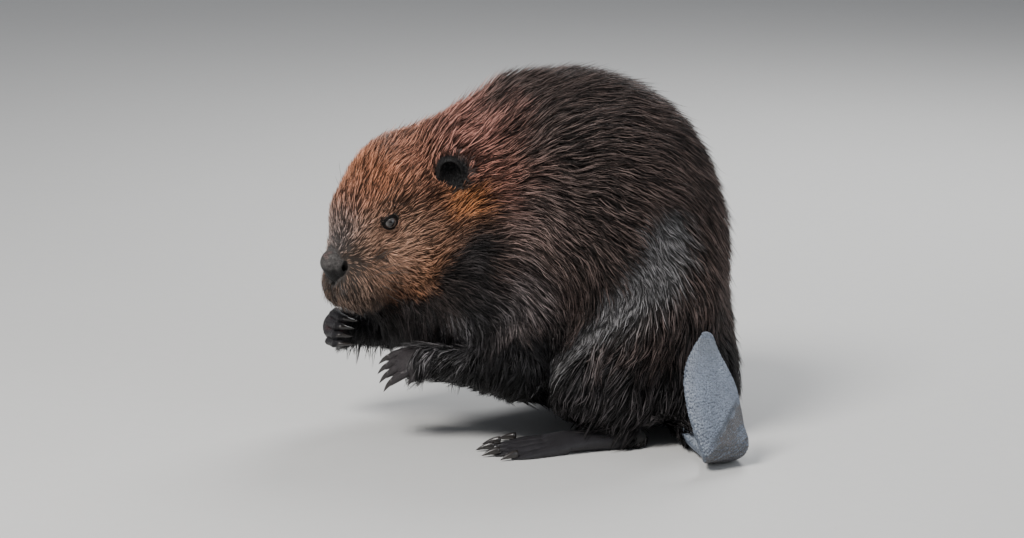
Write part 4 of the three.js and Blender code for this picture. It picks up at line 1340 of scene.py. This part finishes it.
def head_length(p):
    grown = np.interp(gap_to(p, NOSE), (14, 30, 60, 100, 140, 175), (4, 9, 14, 18, 24, 32))
    grown = grown * np.interp((p - NOSE) @ HEAD[2], (-95, -50, -20, 0, 40), (1.35, 1.4, 1.3, 1.0, 0.85))
    grown = grown * np.interp(eye_gap(p), (9, 22), (0.36, 1.0))
    return grown * np.interp(ear_reach(p), (1.0, 1.5, 2.1), (0.2, 0.45, 1.0))


def head_width(p):
    grown = np.interp(gap_to(p, NOSE), (15, 40, 60, 100, 170), (0.4, 0.6, 0.75, 0.95, 1.2))
    return grown * np.interp(eye_gap(p), (9, 20), (0.6, 1))


def head_lift(p):
    by_eye = np.interp(eye_gap(p), (9, 22), (0.4, 1.0))
    return np.maximum(coat_depth(p), 2.8) * by_eye * np.interp(ear_reach(p), (1.0, 1.9), (0.3, 1))


def head_part(low, high):
    def cover(p, side):
        away = gap_to(p, NOSE)
        chosen = (away >= low) & (away < high) & ((p - NOSE) @ HEAD[1] * side <= 0)
        crowd = np.interp(away, (15, 60, 170), (2.0, 1.25, 0.8))
        return chosen * crowd * np.interp(eye_gap(p), (10, 22), (2.2, 1.0))
    return cover


def body_length(p):
    arm = np.minimum(*(arm_gap(p, name) for name in SIDES))
    wrist = np.minimum(*(gap_to(p, WRIST[name]) for name in SIDES))
    grown = 38 + 5 * ripple(p, 70, 41) - 6 * between(60, 20, p[:, 2])
    grown = grown * np.interp(arm, (30, 60), (0.7, 1.0)) * np.interp(wrist, (14, 46), (0.25, 1.0))
    return grown * (1 - 0.68 * wet_patch(p))


def body_width(p):
    return (1.2 + 0.35 * wetness(p)) * (1 - 0.3 * wet_patch(p))


def body_lift(p):
    return coat_depth(p) * (1.0 - 0.72 * wet_patch(p)) * (1 - 0.3 * wetness(p))


def body_part(front, low, high):
    """The coat between two heights, in front of the shoulder's end or behind it."""
    def cover(p, side):
        x, y, z = p.T
        ahead = x < -150 if front else x >= -150
        return ahead & (z >= low) & (z < high) & (y * side >= 0) & (gap_to(p, NOSE) >= HEAD_COAT_END - 4)
    return cover


# Where each part of the coat grows, with its counts of locks of underfur and of guard hair on each side.
HEAD_HAIR = {"length": head_length, "width": head_width, "lift": head_lift, "slot": "head_fur"}
BODY_HAIR = {"length": body_length, "width": body_width, "lift": body_lift, "slot": "body_fur"}
COAT_PARTS = [
    ("muzzle", HEAD_HAIR, head_part(0, FACE_END), 1900, 2500),
    ("cheek", HEAD_HAIR, head_part(FACE_END, CHEEK_END), 3700, 5400),
    ("nape", HEAD_HAIR, head_part(CHEEK_END, HEAD_COAT_END), 2450, 3400),
    ("shoulder", BODY_HAIR, body_part(True, 110, 999), 3200, 3600),
    ("back", BODY_HAIR, body_part(False, 215, 999), 3700, 4200),
    ("flank", BODY_HAIR, body_part(False, 110, 215), 3500, 4000),
    ("haunch", BODY_HAIR, body_part(False, -99, 110), 3250, 3800),
    ("breast", BODY_HAIR, body_part(True, -99, 110), 1700, 2000),
]
seed = 50
for name, side in SIDES.items():
    for part, measures, cover, *counts in COAT_PARTS:
        for layer_name, layer, count in zip(("underfur", "guard_hair"), (UNDER, GUARD), counts):
            seed += 1
            locks(f"{part}_{layer_name}_{name}", side, cover, count, seed, layer, **measures)

# Long dark hair hangs from the throat and the upper arms, clear of the skin below it, and finer hair
# fringes the lips and hangs over the mouth.
# The hanging hair is much paler at its tips, painted as silvery highlights on it.
HANGING = {**GUARD, "pull": 0.5, "tint": (0.5, 1.0), "pale": 0.3, "shade": (0.5, 1.0, 2.6)}
FRINGE = {**GUARD, "pull": 0.15, "tint": (0.5, 1.1), "pale": 0.3, "shade": (0.5, 1.0, 1.5)}


def throat(p, side):
    x, y, z = p.T
    return between(150, 128, z) * between(86, 104, z) * (y * side >= 0) * (x < -205) * (gap_to(p, NOSE) > 62)


def sleeve(p, side):
    x, y, z = p.T
    name = "left" if side < 0 else "right"
    near = between(58, 46, arm_gap(p, name)) * between(94, 104, z) * between(150, 138, z)
    return near * (y * side >= 0) * (x < ELBOW[name][0] + 12)


def lip(p, side):
    away, (_, aside, up) = gap_to(p, NOSE), ((p - NOSE) @ HEAD.T).T
    return between(-14, -32, up) * between(20, 26, away) * (away < 74) * (aside * side <= 0)


def lip_length(p):
    return np.interp(gap_to(p, NOSE), (20, 50), (9, 16))


# Name, where it grows, count on each side, seed, layer, length, width, lift, slot, how straight down it
# hangs and how far below its root it takes its colour.
for part, cover, count, seed, layer, *measures, hang, lower in (
    ("throat_hair", throat, 900, 80, HANGING, 38.0, 1.2, 12.0, "body_fur", 0.85, 20),
    ("sleeve_hair", sleeve, 700, 83, HANGING, 36.0, 1.0, 14.0, "body_fur", 0.8, 0),
    ("lip_hair", lip, 700, 86, FRINGE, lip_length, 0.6, 7.0, "head_fur", 0.4, 0),
):
    for name, side in SIDES.items():
        locks(f"{part}_{name}", side, cover, count, seed - side, layer, *measures, hang=hang,
              tone=lambda p: pelt(p - UP * lower))

# Fine short black hair on the backs and rims of the ears, and a few soft hairs inside them.
EAR_HAIR = {**GUARD, "joints": 2, "pull": 0.1, "shade": (0.4, 0.8, 1.7), "tint": (0.5, 1.1), "pale": 0.15}


def near_ear(p, side):
    at = (p - ear_centre(side)) @ ear_axes(side).T
    rim = gap_to(at[:, 1:] / vec(14, 18), 0)
    return (gap_to(at, 0) < 25) * np.where((at[:, 0] < 1) | (rim > 0.8), 1.0, 0.25)


for name, side in SIDES.items():
    locks(f"ear_hair_{name}", side, near_ear, 1100, 90 + side, EAR_HAIR, 5.5, 0.5, 1.8, "ear_fur", on="ear",
          tone=lambda p: np.tile(FUR_BLACK * 1.1, (len(p), 1)))

# ---------------------------------------------------------------- whiskers
# Stiff, slightly curved bristles stand in rows on each side of the upper lip, with a few over the eyes.
# Each is a slender tapered rod, in dark and pale streaks.
WHISKER_SIDES, WHISKER_STEPS, WHISKER_SINK = 4, 7, 0.6
WHISKER_ROWS, WHISKERS_IN_ROW, BROW_WHISKERS = 5, 6, 4
whisker_random = np.random.default_rng(17)


def seat(guess):
    """The place just inside the hide that is nearest to a guess, and the way straight out there."""
    height, out = near_skin(guess[None])
    return guess - out[0] * (height[0] + WHISKER_SINK), out[0]


def whisker(root, aim, sag, length, radius):
    def thick(share):
        return radius * (1 - share) ** 0.7 + 0.04
    return rod(root, frame_of(aim, UP), length, sag * length, thick, WHISKER_SIDES, WHISKER_STEPS, butt=2)


bristle = streaked("bristle", {"Scale": 60.0}, (0.02, 0.016, 0.014), (0.16, 0.13, 0.11), Roughness=0.35)[0]
for name, side in SIDES.items():
    rods = []
    for row in range(WHISKER_ROWS):
        for n in range(WHISKERS_IN_ROW):
            back, up = 4 + n * 5.0 + row * 0.8, -20 - row * 5.5
            root, out = seat(on_head(back, -side * 22, up) + whisker_random.normal(size=3) * 0.8)
            aim = unit(out * 0.95 - HEAD[0] * (0.15 + 0.16 * n) - HEAD[2] * (0.12 + 0.09 * row)
                       + whisker_random.normal(size=3) * 0.1)
            length = whisker_random.uniform(20, 34) + 4.5 * n
            radius = whisker_random.uniform(0.22, 0.32)
            rods.append(whisker(root, aim, -HEAD[0] * 0.14 - UP * 0.2, length, radius))
    for n in range(BROW_WHISKERS):
        root, out = seat(on_head(60 + n * 4, -side * (30 - n * 2), 18 + n))
        aim = unit(out - HEAD[0] * 0.8 + whisker_random.normal(size=3) * 0.15)
        rods.append(whisker(root, aim, -HEAD[0] * 0.2 - UP * 0.1, 26 + 3 * n, 0.2))
    piece = mesh_object(f"whiskers_{name}", *joined(rods))
    piece.data.materials.append(bristle)
    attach(piece, "root")

# ---------------------------------------------------------------- floor and light
# One plain pale sheet of floor, lit softly by three large round lamps and an even room.
# Each lamp: where it hangs, what it points at, its width, its power and its tint.
LAMPS = {
    "key": ((-1.1, -1.3, 2.0), (-0.1, 0, 0.15), 1.0, 70, (1.0, 0.97, 0.93)),
    "fill": ((1.6, -1.6, 1.0), (-0.1, 0, 0.15), 1.6, 13, (0.9, 0.95, 1.0)),
    "rim": ((0.5, 1.5, 1.6), (-0.1, 0, 0.2), 1.2, 34, (1.0, 1.0, 1.0)),
}
ROOM_TINT, ROOM_LIGHT, FLOOR_REACH = (0.9, 0.93, 1.0, 1), 0.30, 6
for name, (at, target, size, power, tint) in LAMPS.items():
    data = bpy.data.lights.new(name, "AREA")
    data.shape, data.size, data.energy, data.color = "DISK", size, power, tint
    item = bpy.data.objects.new(name, data)
    item.location = at
    item.rotation_euler = (Vector(target) - Vector(at)).to_track_quat("-Z", "Y").to_euler()
    bpy.context.scene.collection.objects.link(item)
world = bpy.data.worlds.new("room")
world.use_nodes = True
background = world.node_tree.nodes["Background"].inputs
background["Color"].default_value, background["Strength"].default_value = ROOM_TINT, ROOM_LIGHT
bpy.context.scene.world = world

mesh = bpy.data.meshes.new("floor")
corners = [(x * FLOOR_REACH, y * FLOOR_REACH, 0) for x, y in ((-1, -1), (1, -1), (1, 1), (-1, 1))]
mesh.from_pydata(corners, [], [(0, 1, 2, 3)])
floor = bpy.data.objects.new("floor", mesh)
made, tree, shader = finish_of("pale_floor", Roughness=0.75)
shade = use_group(
    tree, mottle, {"Colour": (0.62, 0.62, 0.61, 1), "Blotch size": 3.0, "Grain size": 60.0, "Strength": 0.04}
)
tree.links.new(shade["Colour"], shader.inputs["Base Color"])
mesh.materials.append(made)
bpy.context.scene.collection.objects.link(floor)
